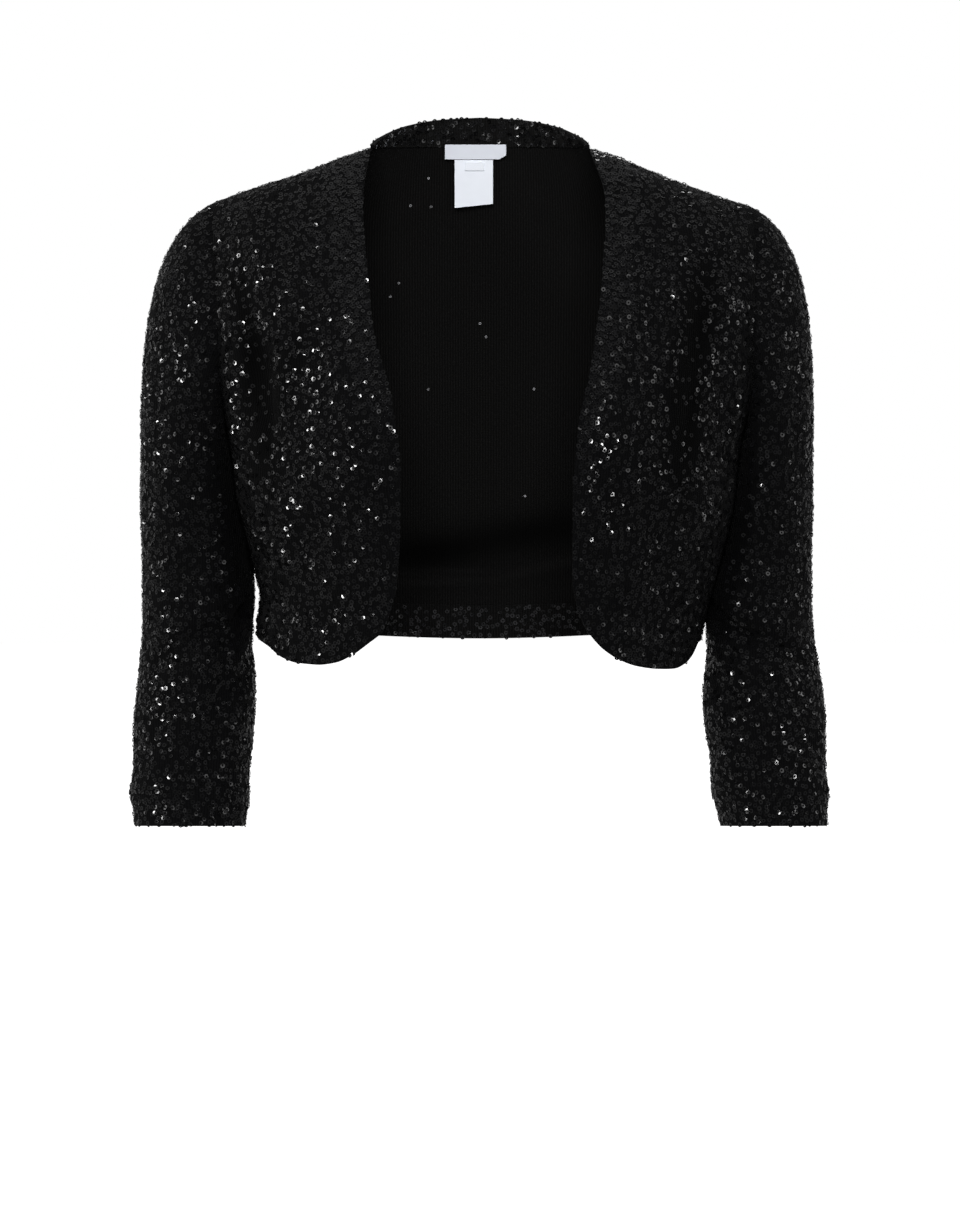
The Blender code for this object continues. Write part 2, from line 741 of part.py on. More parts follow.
def back_inside(back, into, x, z):
    """How far back the inner side of the back lies near its middle."""
    inner = back + into * CLOTH
    middle = inner.shape[1] // 2
    patch = inner[:YOKE_ROWS + 2, middle - LABEL_PATCH:middle + LABEL_PATCH + 1]
    found = [np.interp(x, patch[row, :, 0], patch[row, :, 1]) for row in range(len(patch))]
    heights = [np.interp(x, patch[row, :, 0], patch[row, :, 2]) for row in range(len(patch))]
    return float(np.interp(z, heights[::-1], found[::-1]))


def band_inside(x):
    """How far back the inner side of the band's foot lies."""
    return NECK_DEPTH * math.sqrt(1 - (x / NECK_HALF) ** 2) - BAND_CLOTH - LABEL_FOOT_GAP


def labels(back, into, collection):
    """The blank woven labels sewn inside the back neck."""
    for label in LABELS:
        rows = []
        for row in range(LABEL_ROWS + 1):
            share = row / LABEL_ROWS
            line = []
            for column in range(LABEL_COLUMNS + 1):
                part = column / LABEL_COLUMNS
                x = label.left + (label.right - label.left) * part
                bottom = label.bottom_left + (label.bottom_right - label.bottom_left) * part
                z = label.top + (bottom - label.top) * share
                if label.name == "label_main":
                    y = band_inside(x)
                else:
                    wall = back_inside(back, into, x, min(z, NECK_BACK_HEIGHT - 1))
                    hang = band_inside(x) + LABEL_SLOPE * (label.top - z)
                    y = min(wall - LABEL_WALL_GAP, hang) - label.stand
                line.append((x, y - LABEL_CLOTH, z))
            rows.append(line)
        near = np.array(rows)
        far = near + np.array((0.0, LABEL_CLOTH, 0.0))
        closed_loft(label.name, near, far, False, WHITE_SATIN, collection)


def main():
    for old in list(bpy.data.objects):
        bpy.data.objects.remove(old)
    collection = bpy.data.collections.new("bolero_jacket")
    bpy.context.scene.collection.children.link(collection)
    armholes, back, back_into = torso_panels(collection)
    for side in (RIGHT, LEFT):
        sleeve_and_cuff(side, armholes[side], collection)
    neck_band(collection)
    hem_facing(back, back_into, collection)
    labels(back, back_into, collection)


main()
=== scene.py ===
"""Looks of a sequined bolero jacket, filled out as if worn, with nobody in it.

X points to the wearer's left, -Y to the wearer's front and +Z up.
The tables and form functions are in millimetres, and MM turns them into metres.
"""

import functools
import math
from collections import namedtuple

import bpy
import numpy as np
from bpy.props import FloatProperty, FloatVectorProperty, IntProperty, PointerProperty
from bpy.types import Operator, Panel, PropertyGroup
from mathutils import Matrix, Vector


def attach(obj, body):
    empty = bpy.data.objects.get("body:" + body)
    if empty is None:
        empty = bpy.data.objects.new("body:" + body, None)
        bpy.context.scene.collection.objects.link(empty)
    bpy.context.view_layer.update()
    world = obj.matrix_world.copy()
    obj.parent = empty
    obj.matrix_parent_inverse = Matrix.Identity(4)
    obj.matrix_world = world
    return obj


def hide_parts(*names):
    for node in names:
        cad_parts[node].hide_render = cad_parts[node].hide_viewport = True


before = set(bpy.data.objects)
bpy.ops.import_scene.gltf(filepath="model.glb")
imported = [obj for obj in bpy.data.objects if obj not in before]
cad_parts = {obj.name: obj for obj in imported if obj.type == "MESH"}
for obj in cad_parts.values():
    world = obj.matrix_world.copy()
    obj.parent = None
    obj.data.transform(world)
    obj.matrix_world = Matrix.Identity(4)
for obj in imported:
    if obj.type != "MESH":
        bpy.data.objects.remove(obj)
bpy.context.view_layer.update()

bl_info = {
    "name": "Sequined bolero jacket",
    "version": (1, 0, 0),
    "blender": (4, 5, 0),
    "location": "View3D > Sidebar > Bolero",
    "description": "Cloth, sequins, labels and studio of a sequined bolero jacket",
    "category": "Object",
}

MM = 0.001
RIGHT = -1
LEFT = 1
SIDE_NAMES = {RIGHT: "right", LEFT: "left"}
AHEAD = np.array((0.0, -1.0, 0.0))
DOWN = np.array((0.0, 0.0, -1.0))
FINE = 4
SMOOTH_ANGLE = math.radians(50)

# Torso form: a squarish oval at each height, with its own half width on each side
TORSO_POWER = 2.5
Torso = namedtuple("Torso", "height right left front back")
TORSO = (
    Torso(-350, 160.0, 157.0, 99, 105),
    Torso(-327, 160.5, 160.0, 101, 104),
    Torso(-301, 159.0, 167.0, 103, 103),
    Torso(-287, 162.5, 171.5, 106, 102),
    Torso(-268, 167.5, 177.0, 109, 101),
    Torso(-246, 173.0, 182.5, 113, 100),
    Torso(-225, 177.0, 185.0, 116, 100),
    Torso(-206, 179.0, 186.5, 117, 100),
    Torso(-187, 181.5, 189.5, 117, 100),
    Torso(-150, 190.0, 199.0, 112, 99),
    Torso(-120, 195.0, 203.5, 103, 97),
    Torso(-90, 198.0, 206.5, 90, 93),
    Torso(-60, 198.0, 205.5, 73, 88),
    Torso(-40, 197.0, 203.0, 58, 84),
)

# The hollow in the torso's side where the sleeve lies against it
Hollow = namedtuple("Hollow", "height depth")
SIDE_HOLLOW = (
    Hollow(-320, 0.0),
    Hollow(-301, 2.0),
    Hollow(-287, 4.0),
    Hollow(-268, 7.0),
    Hollow(-246, 8.0),
    Hollow(-206, 7.5),
    Hollow(-187, 6.0),
)
HOLLOW_DEPTH_AT = 6.0
HOLLOW_SPREAD = 28.0
SWELL_FADE = 1.6
SECTION_SAMPLES = 48

# Soft mounds and hollows of the torso: centre, spread and height outwards
Swell = namedtuple("Swell", "x z spread_x spread_z lean rise")
FRONT_SWELLS = (
    Swell(-92, -178, 34, 44, 0.0, 7.0),
    Swell(96, -178, 34, 44, 0.0, 7.0),
    Swell(-157, -144, 9, 36, 0.05, -7.0),
    Swell(163, -142, 11, 46, -0.08, -5.0),
    Swell(-118, -262, 12, 34, 0.25, -3.0),
    Swell(122, -258, 12, 36, -0.25, -3.0),
)
BACK_SWELLS = (
    Swell(10, -290, 95, 13, 0.11, -7.0),
    Swell(-60, -316, 60, 12, -0.1, 2.5),
    Swell(86, -120, 44, 40, 0.0, 6.0),
    Swell(-86, -120, 44, 40, 0.0, 6.0),
    Swell(0, -190, 20, 80, 0.0, -4.0),
    Swell(-140, -210, 10, 50, 0.12, -4.0),
    Swell(140, -205, 10, 50, -0.12, -4.0),
)

# Shoulder seam: from the side neck point to the shoulder point
Seam = namedtuple("Seam", "right left right_height left_height")
SHOULDER = (
    Seam(78.0, 78.0, 17.0, 17.0),
    Seam(95.5, 95.5, 11.5, 11.5),
    Seam(131.0, 131.0, -2.0, -3.0),
    Seam(165.0, 165.0, -12.5, -15.5),
    Seam(189.5, 192.0, -21.5, -24.0),
)

# Opening edge of each front: distance from the middle at each height
Edge = namedtuple("Edge", "height out")
FRONT_EDGE = {
    RIGHT: (
        Edge(-320, 69.0),
        Edge(-304, 62.5),
        Edge(-290, 58.6),
        Edge(-271, 56.7),
        Edge(-253, 55.6),
        Edge(-205, 55.0),
        Edge(-157, 60.5),
        Edge(-109, 73.5),
        Edge(-72, 77.8),
        Edge(-38, 81.3),
        Edge(-20, 82.3),
        Edge(17, 78.0),
    ),
    LEFT: (
        Edge(-318, 74.4),
        Edge(-300, 67.4),
        Edge(-280, 64.3),
        Edge(-226, 64.2),
        Edge(-177, 67.4),
        Edge(-136, 75.8),
        Edge(-89, 83.4),
        Edge(-56, 86.3),
        Edge(-38, 88.0),
        Edge(-20, 88.0),
        Edge(17, 78.0),
    ),
}

# Front hem from the rounded corner to the side seam
Hem = namedtuple("Hem", "out height")
FRONT_HEM = {
    RIGHT: (
        Hem(69.0, -320.0),
        Hem(76.0, -325.5),
        Hem(89.6, -335.7),
        Hem(101.3, -341.3),
        Hem(115.0, -343.5),
        Hem(129.0, -343.2),
        Hem(141.0, -340.0),
        Hem(150.0, -334.0),
        Hem(161.0, -330.0),
    ),
    LEFT: (
        Hem(74.4, -318.0),
        Hem(86.4, -331.3),
        Hem(99.9, -340.0),
        Hem(112.0, -344.5),
        Hem(128.0, -347.5),
        Hem(141.0, -348.5),
        Hem(149.0, -346.0),
        Hem(154.5, -341.0),
        Hem(158.5, -333.0),
    ),
}
SIDE_HEM = -331.0
BACK_HEM_DROP = 14.0

# Armhole: how far the seam runs to the front and to the back at each height
Armhole = namedtuple("Armhole", "height front back")
ARMHOLE = (
    Armhole(-190, 0.0, 0.0),
    Armhole(-184, 17.0, 19.0),
    Armhole(-174, 28.5, 31.5),
    Armhole(-159, 38.5, 42.0),
    Armhole(-140, 44.0, 47.5),
    Armhole(-120, 46.0, 49.5),
    Armhole(-100, 44.0, 48.0),
    Armhole(-80, 38.5, 43.0),
    Armhole(-60, 30.0, 34.0),
)
YOKE_END = -60.0
UNDERARM = -190.0
YOKE_ROWS = 4
YOKE_REACH_TOP = 0.85
YOKE_REACH_BOTTOM = 0.95
ARMHOLE_ROW_HEIGHTS = (-60, -80, -100, -120, -140, -159, -174, -184, -190)
UNDERARM_ROW = YOKE_ROWS + len(ARMHOLE_ROW_HEIGHTS) - 1
SIDE_ROWS = 12
FRONT_COLUMNS = 14
BACK_HALF_COLUMNS = 14
SHOULDER_COLUMNS = 7
SEAM_HALF = 0.02
SEAM_GAP = 0.05
SEAM_BLEND = 10.0
FRONT_COLUMN_POWER = 1.12
BACK_HEM_POWER = 1.4

# Back neck seam and the band that stands on it
NECK_HALF = 78.0
NECK_DEPTH = 72.0
NECK_SIDE_HEIGHT = 17.0
NECK_BACK_HEIGHT = 19.0
NECK_OUT = 0.3
NECK_LEVEL_LESS = 0.75
NECK_DROP = 0.97
NECK_DROP_POWER = 0.7
BAND_END_ANGLE = 88.0
BAND_COLUMNS = 28
BAND_ROWS = 3
BAND_LEAN = 0.10
BAND_CLOTH = 3.0
BAND_TUCK = 0.6
BAND_SUNK = 0.4
Band = namedtuple("Band", "angle height")
BAND_HEIGHTS = (
    Band(0, 21.0),
    Band(22, 19.5),
    Band(44, 15.3),
    Band(67, 8.0),
    Band(90, 1.8),
)

# Sleeve: outline to each side, middle, half depth and forward tilt at each height
Sleeve = namedtuple("Sleeve", "height right_out left_out right_in left_in middle depth tilt")
SLEEVE = (
    Sleeve(-205, 243.0, 238.5, 172.0, 179.0, 5.0, 50.0, 0.0),
    Sleeve(-238, 244.0, 239.0, 167.0, 174.0, 7.0, 49.0, 0.0),
    Sleeve(-274, 243.2, 238.7, 163.5, 166.5, 9.0, 46.0, 1.5),
    Sleeve(-303, 243.2, 239.0, 163.1, 162.5, 9.0, 44.5, 4.0),
    Sleeve(-333, 243.6, 240.8, 163.6, 162.7, 7.0, 43.0, 7.0),
    Sleeve(-354, 245.5, 244.2, 162.5, 162.4, 2.5, 42.0, 9.0),
    Sleeve(-375, 247.5, 247.3, 162.3, 160.8, -2.0, 40.5, 9.5),
    Sleeve(-396, 249.3, 248.7, 163.0, 162.2, -6.5, 39.5, 9.5),
    Sleeve(-425, 249.3, 248.6, 165.6, 166.3, -12.5, 38.0, 9.5),
    Sleeve(-437, 250.8, 249.8, 166.2, 166.4, -15.0, 38.0, 9.5),
    Sleeve(-441, 251.8, 250.6, 165.8, 166.6, -16.0, 38.2, 9.5),
    Sleeve(-447, 251.4, 250.6, 165.9, 168.0, -17.0, 38.0, 9.5),
    Sleeve(-454, 249.4, 249.4, 167.0, 170.0, -18.5, 37.2, 9.5),
    Sleeve(-467, 248.0, 249.2, 168.9, 173.0, -21.0, 36.5, 9.5),
)
SLEEVE_POWER = 2.25
ARM_RADIUS = 42.0
SLEEVE_TOP = -205.0
SLEEVE_END = -437.0
CUFF_END = -467.0
CUFF_CLOTH = 3.0
CAP_RINGS = 7
SLEEVE_RINGS = 16
CUFF_RINGS = 4
SLEEVE_CLEAR = 1.2
CLEAR_FADE = 8.0
CAP_REACH_TOP = 0.85
CAP_REACH_BOTTOM = 1.2
CAP_OUT_LEAST = 0.10
CAP_OUT_MORE = 0.80
CAP_OUT_POWER = 0.7
CAP_AHEAD = 0.42
CAP_DOWN_LESS = 0.58
RING_POINTS = 24

# Creases of a sleeve: a soft groove or ridge between two points on its surface
Crease = namedtuple("Crease", "angle_from height_from angle_to height_to spread rise")
SLEEVE_CREASES = (
    Crease(55, -352, 150, -318, 10.0, -4.5),
    Crease(60, -333, 160, -300, 9.0, 2.5),
    Crease(120, -380, 175, -345, 9.0, -3.0),
    Crease(200, -330, 300, -352, 10.0, -4.0),
    Crease(95, -130, 60, -200, 10.0, -3.0),
    Crease(265, -130, 300, -205, 10.0, -3.0),
)
FINE_CREASES = {
    RIGHT: (
        Crease(166, -326, 122, -343, 4.5, -2.4),
        Crease(150, -311, 124, -340, 4.5, -1.8),
        Crease(122, -343, 118, -362, 5.0, -1.8),
        Crease(118, -362, 106, -432, 7.0, -1.8),
        Crease(98, -250, 82, -290, 8.0, -1.2),
        Crease(70, -395, 40, -425, 7.0, -1.2),
        Crease(238, -318, 300, -330, 5.0, -2.0),
        Crease(215, -362, 262, -377, 6.0, -1.8),
        Crease(280, -240, 262, -285, 8.0, -1.4),
        Crease(330, -356, 300, -400, 7.0, -1.3),
    ),
    LEFT: (
        Crease(152, -311, 101, -338, 4.5, -2.2),
        Crease(101, -338, 90, -368, 5.0, -1.9),
        Crease(165, -334, 128, -350, 4.5, -1.8),
        Crease(88, -370, 96, -430, 7.0, -1.6),
        Crease(100, -240, 84, -282, 8.0, -1.2),
        Crease(60, -400, 30, -422, 7.0, -1.2),
        Crease(232, -322, 296, -336, 5.0, -2.0),
        Crease(222, -366, 268, -384, 6.0, -1.7),
        Crease(276, -236, 258, -280, 8.0, -1.4),
        Crease(325, -350, 296, -392, 7.0, -1.3),
    ),
}

# How a fold fades towards its ends
TAPER_LEAST = 0.35
TAPER_MORE = 0.65
TAPER_END = 0.02
TAPER_POWER = 0.7

# Small folds of the torso, between two points across its width and height
Fold = namedtuple("Fold", "x_from z_from x_to z_to spread rise")
FRONT_FOLDS = (
    Fold(-156, -46, -150, -112, 6.5, 1.8),
    Fold(-151, -112, -146, -192, 7.0, -4.2),
    Fold(-172, -122, -168, -232, 6.0, 1.8),
    Fold(-134, -104, -131, -160, 7.0, 1.4),
    Fold(-92, -165, -84, -232, 9.0, 1.2),
    Fold(-137, -226, -134, -262, 5.0, 1.3),
    Fold(-148, -246, -112, -268, 6.0, -1.6),
    Fold(-152, -272, -104, -296, 7.0, -1.5),
    Fold(-96, -306, -128, -326, 6.0, -1.0),
    Fold(158, -70, 150, -124, 8.0, -2.6),
    Fold(150, -124, 145, -196, 8.0, -3.0),
    Fold(178, -120, 176, -236, 6.0, 1.5),
    Fold(134, -84, 130, -150, 7.0, 1.4),
    Fold(80, -206, 76, -262, 8.0, 1.3),
    Fold(152, -238, 112, -262, 6.0, -1.6),
    Fold(158, -266, 108, -292, 7.0, -1.5),
    Fold(92, -304, 130, -322, 6.0, -1.0),
    Fold(100, 4, 115, -12, 3.0, 1.4),
)
BACK_FOLDS = (
    Fold(-66, -286, 26, -282, 6.0, -1.8),
    Fold(-40, -273, 70, -266, 7.0, 1.4),
    Fold(-120, -262, -60, -276, 6.0, -1.8),
    Fold(118, -250, 62, -268, 6.0, -1.8),
    Fold(-150, -96, -140, -170, 6.0, -2.2),
    Fold(152, -92, 143, -172, 6.0, -2.2),
    Fold(-158, -180, -136, -236, 7.0, 1.6),
    Fold(160, -176, 138, -232, 7.0, 1.6),
    Fold(-28, -14, -58, -34, 6.0, -1.2),
    Fold(30, -14, 62, -36, 6.0, -1.2),
)

# Painted shade in deep folds, with fewer sequins there on fronts and sleeves, and painted
# highlights on ridges
FRONT_SHADES = (
    Fold(-172, -66, -161, -120, 7.0, 0.80),
    Fold(-163, -106, -148, -160, 11.0, 0.95),
    Fold(-148, -140, -153, -222, 12.0, 1.00),
    Fold(-124, -106, -143, -165, 10.0, 0.60),
    Fold(160, -62, 150, -124, 14.0, 0.75),
    Fold(150, -112, 141, -172, 15.0, 0.85),
    Fold(143, -160, 140, -226, 13.0, 0.90),
)
# How far one degree reaches round the arm
DEGREE_RUN = 0.733
SLEEVE_SHADES = (
    Fold(150 * DEGREE_RUN, -128, 146 * DEGREE_RUN, -250, 22.0, 0.55),
    Fold(150 * DEGREE_RUN, -210, 150 * DEGREE_RUN, -345, 26.0, 0.75),
    Fold(232 * DEGREE_RUN, -150, 228 * DEGREE_RUN, -330, 20.0, 0.50),
)
# Painted shade across the inside of the back above the facing, and painted highlights along lines
# there
BACK_INNER_SHADES = (
    Fold(-105, -284, -20, -280, 15.0, 0.75),
    Fold(-40, -282, 105, -254, 16.0, 0.80),
)
BACK_INNER_RIDGE_HIGHLIGHTS = (
    Fold(-95, -304, 10, -300, 2.2, 0.55),
    Fold(10, -300, 95, -279, 3.0, 0.45),
    Fold(-95, -296, 10, -293, 2.0, 0.30),
)
# Painted level of the inner sides of all cloth, a little below full so painted highlights can lie
# above it
INNER_LIT = 0.76
SHADE_MOST = 0.92
SHADE_THINNING = 0.92

# Facing turned up inside the back hem, and the labels below the neck band
FACING_HEIGHT = 24.0
FACING_ROWS = 8
FACING_SKIP = 1
FACING_CLOTH = 1.6
FACING_CLOSER = 0.84
KNIT_IN_SOLIDS = 2.0
Label = namedtuple("Label", "name left right top bottom_left bottom_right stand")
LABEL_CLEAR = 2.0
LABELS = (
    Label("label_main", -25.5, 19.0, 20.5, 9.8, 9.8, 0.0),
    Label("label_care", -18.5, 9.5, 9.4, -25.5, -22.5, 0.0),
    Label("label_size", -11.0, 3.0, 7.6, 1.6, 1.6, 1.15),
)
LABEL_FOOT_GAP = 0.5
LABEL_WALL_GAP = 0.35
LABEL_SLOPE = 0.12
LABEL_PATCH = 5


def smooth(table, at, column, where):
    """Read a column of a table at many places, on a smooth monotone curve."""
    rows = sorted(table, key=lambda row: getattr(row, at))
    xs = np.array([getattr(row, at) for row in rows], dtype=float)
    ys = np.array([getattr(row, column) for row in rows], dtype=float)
    steps = np.diff(xs)
    slopes = np.diff(ys) / steps
    tangents = np.zeros(len(xs))
    tangents[0] = slopes[0]
    tangents[-1] = slopes[-1]
    for i in range(1, len(xs) - 1):
        if slopes[i - 1] * slopes[i] > 0:
            tangents[i] = 2 * slopes[i - 1] * slopes[i] / (slopes[i - 1] + slopes[i])
    where = np.clip(np.asarray(where, dtype=float), xs[0], xs[-1])
    index = np.clip(np.searchsorted(xs, where) - 1, 0, len(steps) - 1)
    t = (where - xs[index]) / steps[index]
    step = steps[index]
    rise = (1 + 2 * t) * (1 - t) ** 2 * ys[index] + t * t * (3 - 2 * t) * ys[index + 1]
    lean = t * (1 - t) ** 2 * tangents[index] - t * t * (1 - t) * tangents[index + 1]
    return rise + step * lean


def unit(vectors):
    """Scale vectors to length one."""
    lengths = np.linalg.norm(vectors, axis=-1, keepdims=True)
    return vectors / np.maximum(lengths, 1e-9)


def hermite(start, start_lean, end, end_lean, t):
    """A cubic curve between two points with a lean at each end."""
    return ((1 + 2 * t) * (1 - t) ** 2 * start + t * (1 - t) ** 2 * start_lean
            + t * t * (3 - 2 * t) * end - t * t * (1 - t) * end_lean)


def swell_rise(swells, x, z):
    """How far the soft mounds and hollows lift the torso at many places."""
    total = np.zeros(np.broadcast(x, z).shape)
    for swell in swells:
        across = x - swell.x
        along = z - swell.z
        if swell.spread_x > swell.spread_z:
            along = along - swell.lean * (x - swell.x)
        else:
            across = across - swell.lean * (z - swell.z)
        total += swell.rise * np.exp(
            -(across / swell.spread_x) ** 2 - (along / swell.spread_z) ** 2)
    return total


def line_rise(start, end, spread, rise, place):
    """The lift of one soft fold at many places; it fades towards its ends."""
    start = np.array(start)
    run = np.array(end) - start
    t = np.clip((place - start) @ run / (run @ run), 0, 1)
    near = start + t[..., None] * run
    far = np.linalg.norm(place - near, axis=-1)
    bow = np.sin(math.pi * np.clip(t, TAPER_END, 1 - TAPER_END))
    taper = TAPER_LEAST + TAPER_MORE * bow ** TAPER_POWER
    return rise * taper * np.exp(-(far / spread) ** 2)


def torso_widths(side, z):
    """Half width, front depth and back depth of the torso form at a height."""
    width = smooth(TORSO, "height", SIDE_NAMES[side], z)
    front = smooth(TORSO, "height", "front", z)
    back = smooth(TORSO, "height", "back", z)
    return width, front, back


def torso_points(side, angles, z):
    """Points on the torso; the angle is 0 in front, 90 at the side and 180 behind."""
    width, front, back = torso_widths(side, z)
    power = 2 / TORSO_POWER
    turn = np.radians(angles)
    across = np.abs(np.sin(turn)) ** power
    along = np.abs(np.cos(turn)) ** power
    ahead = angles < 90
    x = side * width * across
    rise = np.where(ahead, swell_rise(FRONT_SWELLS, x, z), swell_rise(BACK_SWELLS, x, z))
    rise = rise * np.minimum(1.0, along * SWELL_FADE)
    y = np.where(ahead, -front * along - rise, back * along + rise)
    hollow = smooth(SIDE_HOLLOW, "height", "depth", z)
    x = x - side * hollow * np.exp(-((y - HOLLOW_DEPTH_AT) / HOLLOW_SPREAD) ** 2)
    return np.stack((x, y, z), axis=-1)


def torso_side(side, y, z):
    """How far out the torso's side lies at a depth and height."""
    width, front, back = torso_widths(side, z)
    depth = np.where(y < 0, front, back)
    share = np.clip(np.abs(y) / depth, 0, 0.999)
    out = width * (1 - share ** TORSO_POWER) ** (1 / TORSO_POWER)
    hollow = smooth(SIDE_HOLLOW, "height", "depth", z)
    return out - hollow * np.exp(-((y - HOLLOW_DEPTH_AT) / HOLLOW_SPREAD) ** 2)


def edge_angle(side, z):
    """Angle of the front's opening edge on the torso form."""
    out = smooth(FRONT_EDGE[side], "height", "out", z)
    width = torso_widths(side, z)[0]
    return np.degrees(np.arcsin((out / width) ** (TORSO_POWER / 2)))


def side_angle(side, z, behind):
    """Angle of the armhole, or of the side seam below it."""
    front, back = torso_widths(side, z)[1:]
    run = smooth(ARMHOLE, "height", "back" if behind else "front", z)
    depth = back if behind else front
    off = np.degrees(np.arccos(np.minimum(1.0, (run / depth) ** (TORSO_POWER / 2))))
    angle = 180 - off if behind else off
    return np.where(z <= UNDERARM, 90.0, angle)


def section(side, first, last, heights, fractions):
    """Points at even steps of length along stretches of the torso's sections."""
    steps = np.linspace(0, 1, SECTION_SAMPLES)
    angles = first[..., None] + (last - first)[..., None] * steps
    lines = torso_points(side, angles, heights[..., None] + np.zeros(SECTION_SAMPLES))
    lengths = np.linalg.norm(np.diff(lines, axis=-2), axis=-1)
    runs = np.concatenate((np.zeros(heights.shape + (1,)), np.cumsum(lengths, axis=-1)), axis=-1)
    found = np.empty(heights.shape)
    for index in np.ndindex(heights.shape):
        run = runs[index]
        found[index] = np.interp(fractions[index[-1]] * run[-1], run, angles[index])
    return torso_points(side, found, heights)


def shoulder_point(side, fraction):
    """A point of the shoulder seam, from the neck at 0 to the armhole at 1."""
    place = fraction * (len(SHOULDER) - 1)
    name = SIDE_NAMES[side]
    outs = [getattr(seam, name) for seam in SHOULDER]
    heights = [getattr(seam, name + "_height") for seam in SHOULDER]
    run = np.interp(place, range(len(SHOULDER)), outs)
    height = np.interp(run, outs, heights)
    return np.array((side * run, 0.0, height))


def yoke_column(start, start_lean, end, below):
    """Rows of one column over the shoulder, from a seam down to the chest line."""
    chord = np.linalg.norm(end - start)
    first = start_lean * chord * YOKE_REACH_TOP
    last = unit(below - end) * chord * YOKE_REACH_BOTTOM
    steps = np.linspace(0, 1, YOKE_ROWS * FINE + 1)[:-1]
    return np.array([hermite(start, first, end, last, t) for t in steps])


def row_heights(hem):
    """Heights of the rows below the chest line, down to each column's own hem."""
    places = np.arange((len(ARMHOLE_ROW_HEIGHTS) - 1) * FINE + 1) / FINE
    high = np.interp(places, range(len(ARMHOLE_ROW_HEIGHTS)), ARMHOLE_ROW_HEIGHTS)
    steps = np.arange(1, SIDE_ROWS * FINE + 1) / (SIDE_ROWS * FINE)
    low = UNDERARM + (hem - UNDERARM) * steps[:, None]
    return np.concatenate((high[:, None] + np.zeros(len(hem)), low))


def with_yoke(body, starts, leans):
    """Add the rows over the shoulder on top of the rows of the body."""
    columns = []
    for column in range(body.shape[1]):
        columns.append(yoke_column(starts[column], leans[column],
                                   body[0, column], body[FINE, column]))
    return np.concatenate((np.array(columns).transpose(1, 0, 2), body))


def front_outer(side):
    """Outer points of one front, by rows from the shoulder and columns from the opening."""
    fractions = (np.arange(FRONT_COLUMNS * FINE + 1) / (FRONT_COLUMNS * FINE)) ** FRONT_COLUMN_POWER
    corner = min(edge.height for edge in FRONT_EDGE[side])
    level = np.full(len(fractions), float(corner))
    places = section(side, edge_angle(side, level), np.full(len(level), 90.0),
                     level, fractions)
    outs = np.maximum(FRONT_HEM[side][0].out, np.abs(places[:, 0]))
    heights = row_heights(smooth(FRONT_HEM[side], "out", "height", outs))
    body = section(side, edge_angle(side, heights), side_angle(side, heights, False),
                   heights, fractions)
    starts = [shoulder_point(side, fraction) for fraction in fractions]
    grid = with_yoke(body, starts, [AHEAD] * len(fractions))
    for row in range(1, YOKE_ROWS * FINE):
        wanted = side * float(smooth(FRONT_EDGE[side], "height", "out", grid[row, 0, 2]))
        grid[row, :, 0] += (wanted - grid[row, 0, 0]) * (1 - fractions) ** 2
    return grid


def neck_seam(angle):
    """A point of the back neck seam; 0 is the middle of the back, 90 the side."""
    turn = math.radians(angle)
    share = math.cos(turn)
    height = NECK_SIDE_HEIGHT + (NECK_BACK_HEIGHT - NECK_SIDE_HEIGHT) * share
    return np.array((NECK_HALF * math.sin(turn), NECK_DEPTH * share, height))


def back_half_outer(side):
    """Outer points of one half of the back, by columns from the side to the middle."""
    count = BACK_HALF_COLUMNS * FINE + 1
    fractions = np.arange(count) / (count - 1)
    side_share = np.abs(np.cos(np.radians(90 + 90 * fractions)))
    heights = row_heights(SIDE_HEM - BACK_HEM_DROP * side_share ** BACK_HEM_POWER)
    body = section(side, side_angle(side, heights, True), np.full(heights.shape, 180.0),
                   heights, fractions)
    starts = []
    leans = []
    seam = SHOULDER_COLUMNS * FINE
    for column in range(count):
        if column <= seam:
            starts.append(shoulder_point(side, 1 - column / seam))
            leans.append(-AHEAD)
        else:
            share = (column - seam) / (count - 1 - seam)
            turn = math.radians(90 * (1 - share))
            start = neck_seam(90 * (1 - share))
            start[0] *= side
            drop = share ** NECK_DROP_POWER
            starts.append(start)
            leans.append(unit(np.array((side * NECK_OUT * math.sin(turn) * share,
                                        1.0 - NECK_LEVEL_LESS * drop, -NECK_DROP * drop))))
    return with_yoke(body, starts, leans)


def inward(grid, away_from, closed=False):
    """Directions into the cloth at every point of a grid, away from the outer side."""
    if closed:
        across = np.roll(grid, -1, axis=1) - np.roll(grid, 1, axis=1)
    else:
        across = np.gradient(grid, axis=1)
    along = np.gradient(grid, axis=0)
    normals = unit(np.cross(across, along))
    if np.sum(normals * (away_from(grid) - grid)) < 0:
        normals = -normals
    return normals


def torso_axis(grid):
    """The torso's middle line at each point's height."""
    middle = np.zeros_like(grid)
    middle[..., 2] = np.minimum(grid[..., 2], YOKE_END)
    return middle


def ring_middles(grid):
    """The middle of each ring."""
    return np.repeat(grid.mean(axis=1, keepdims=True), grid.shape[1], axis=1)


def edge_distance(grid, sides):
    """Distance of every point from the named edges of a grid, measured along the cloth."""
    across = np.concatenate((np.zeros((grid.shape[0], 1)), np.cumsum(
        np.linalg.norm(np.diff(grid, axis=1), axis=-1), axis=1)), axis=1)
    along = np.concatenate((np.zeros((1, grid.shape[1])), np.cumsum(
        np.linalg.norm(np.diff(grid, axis=0), axis=-1), axis=0)), axis=0)
    runs = {
        "first": across,
        "last": across[:, -1:] - across,
        "top": along,
        "bottom": along[-1:] - along,
    }
    return np.min([runs[name] for name in sides], axis=0)


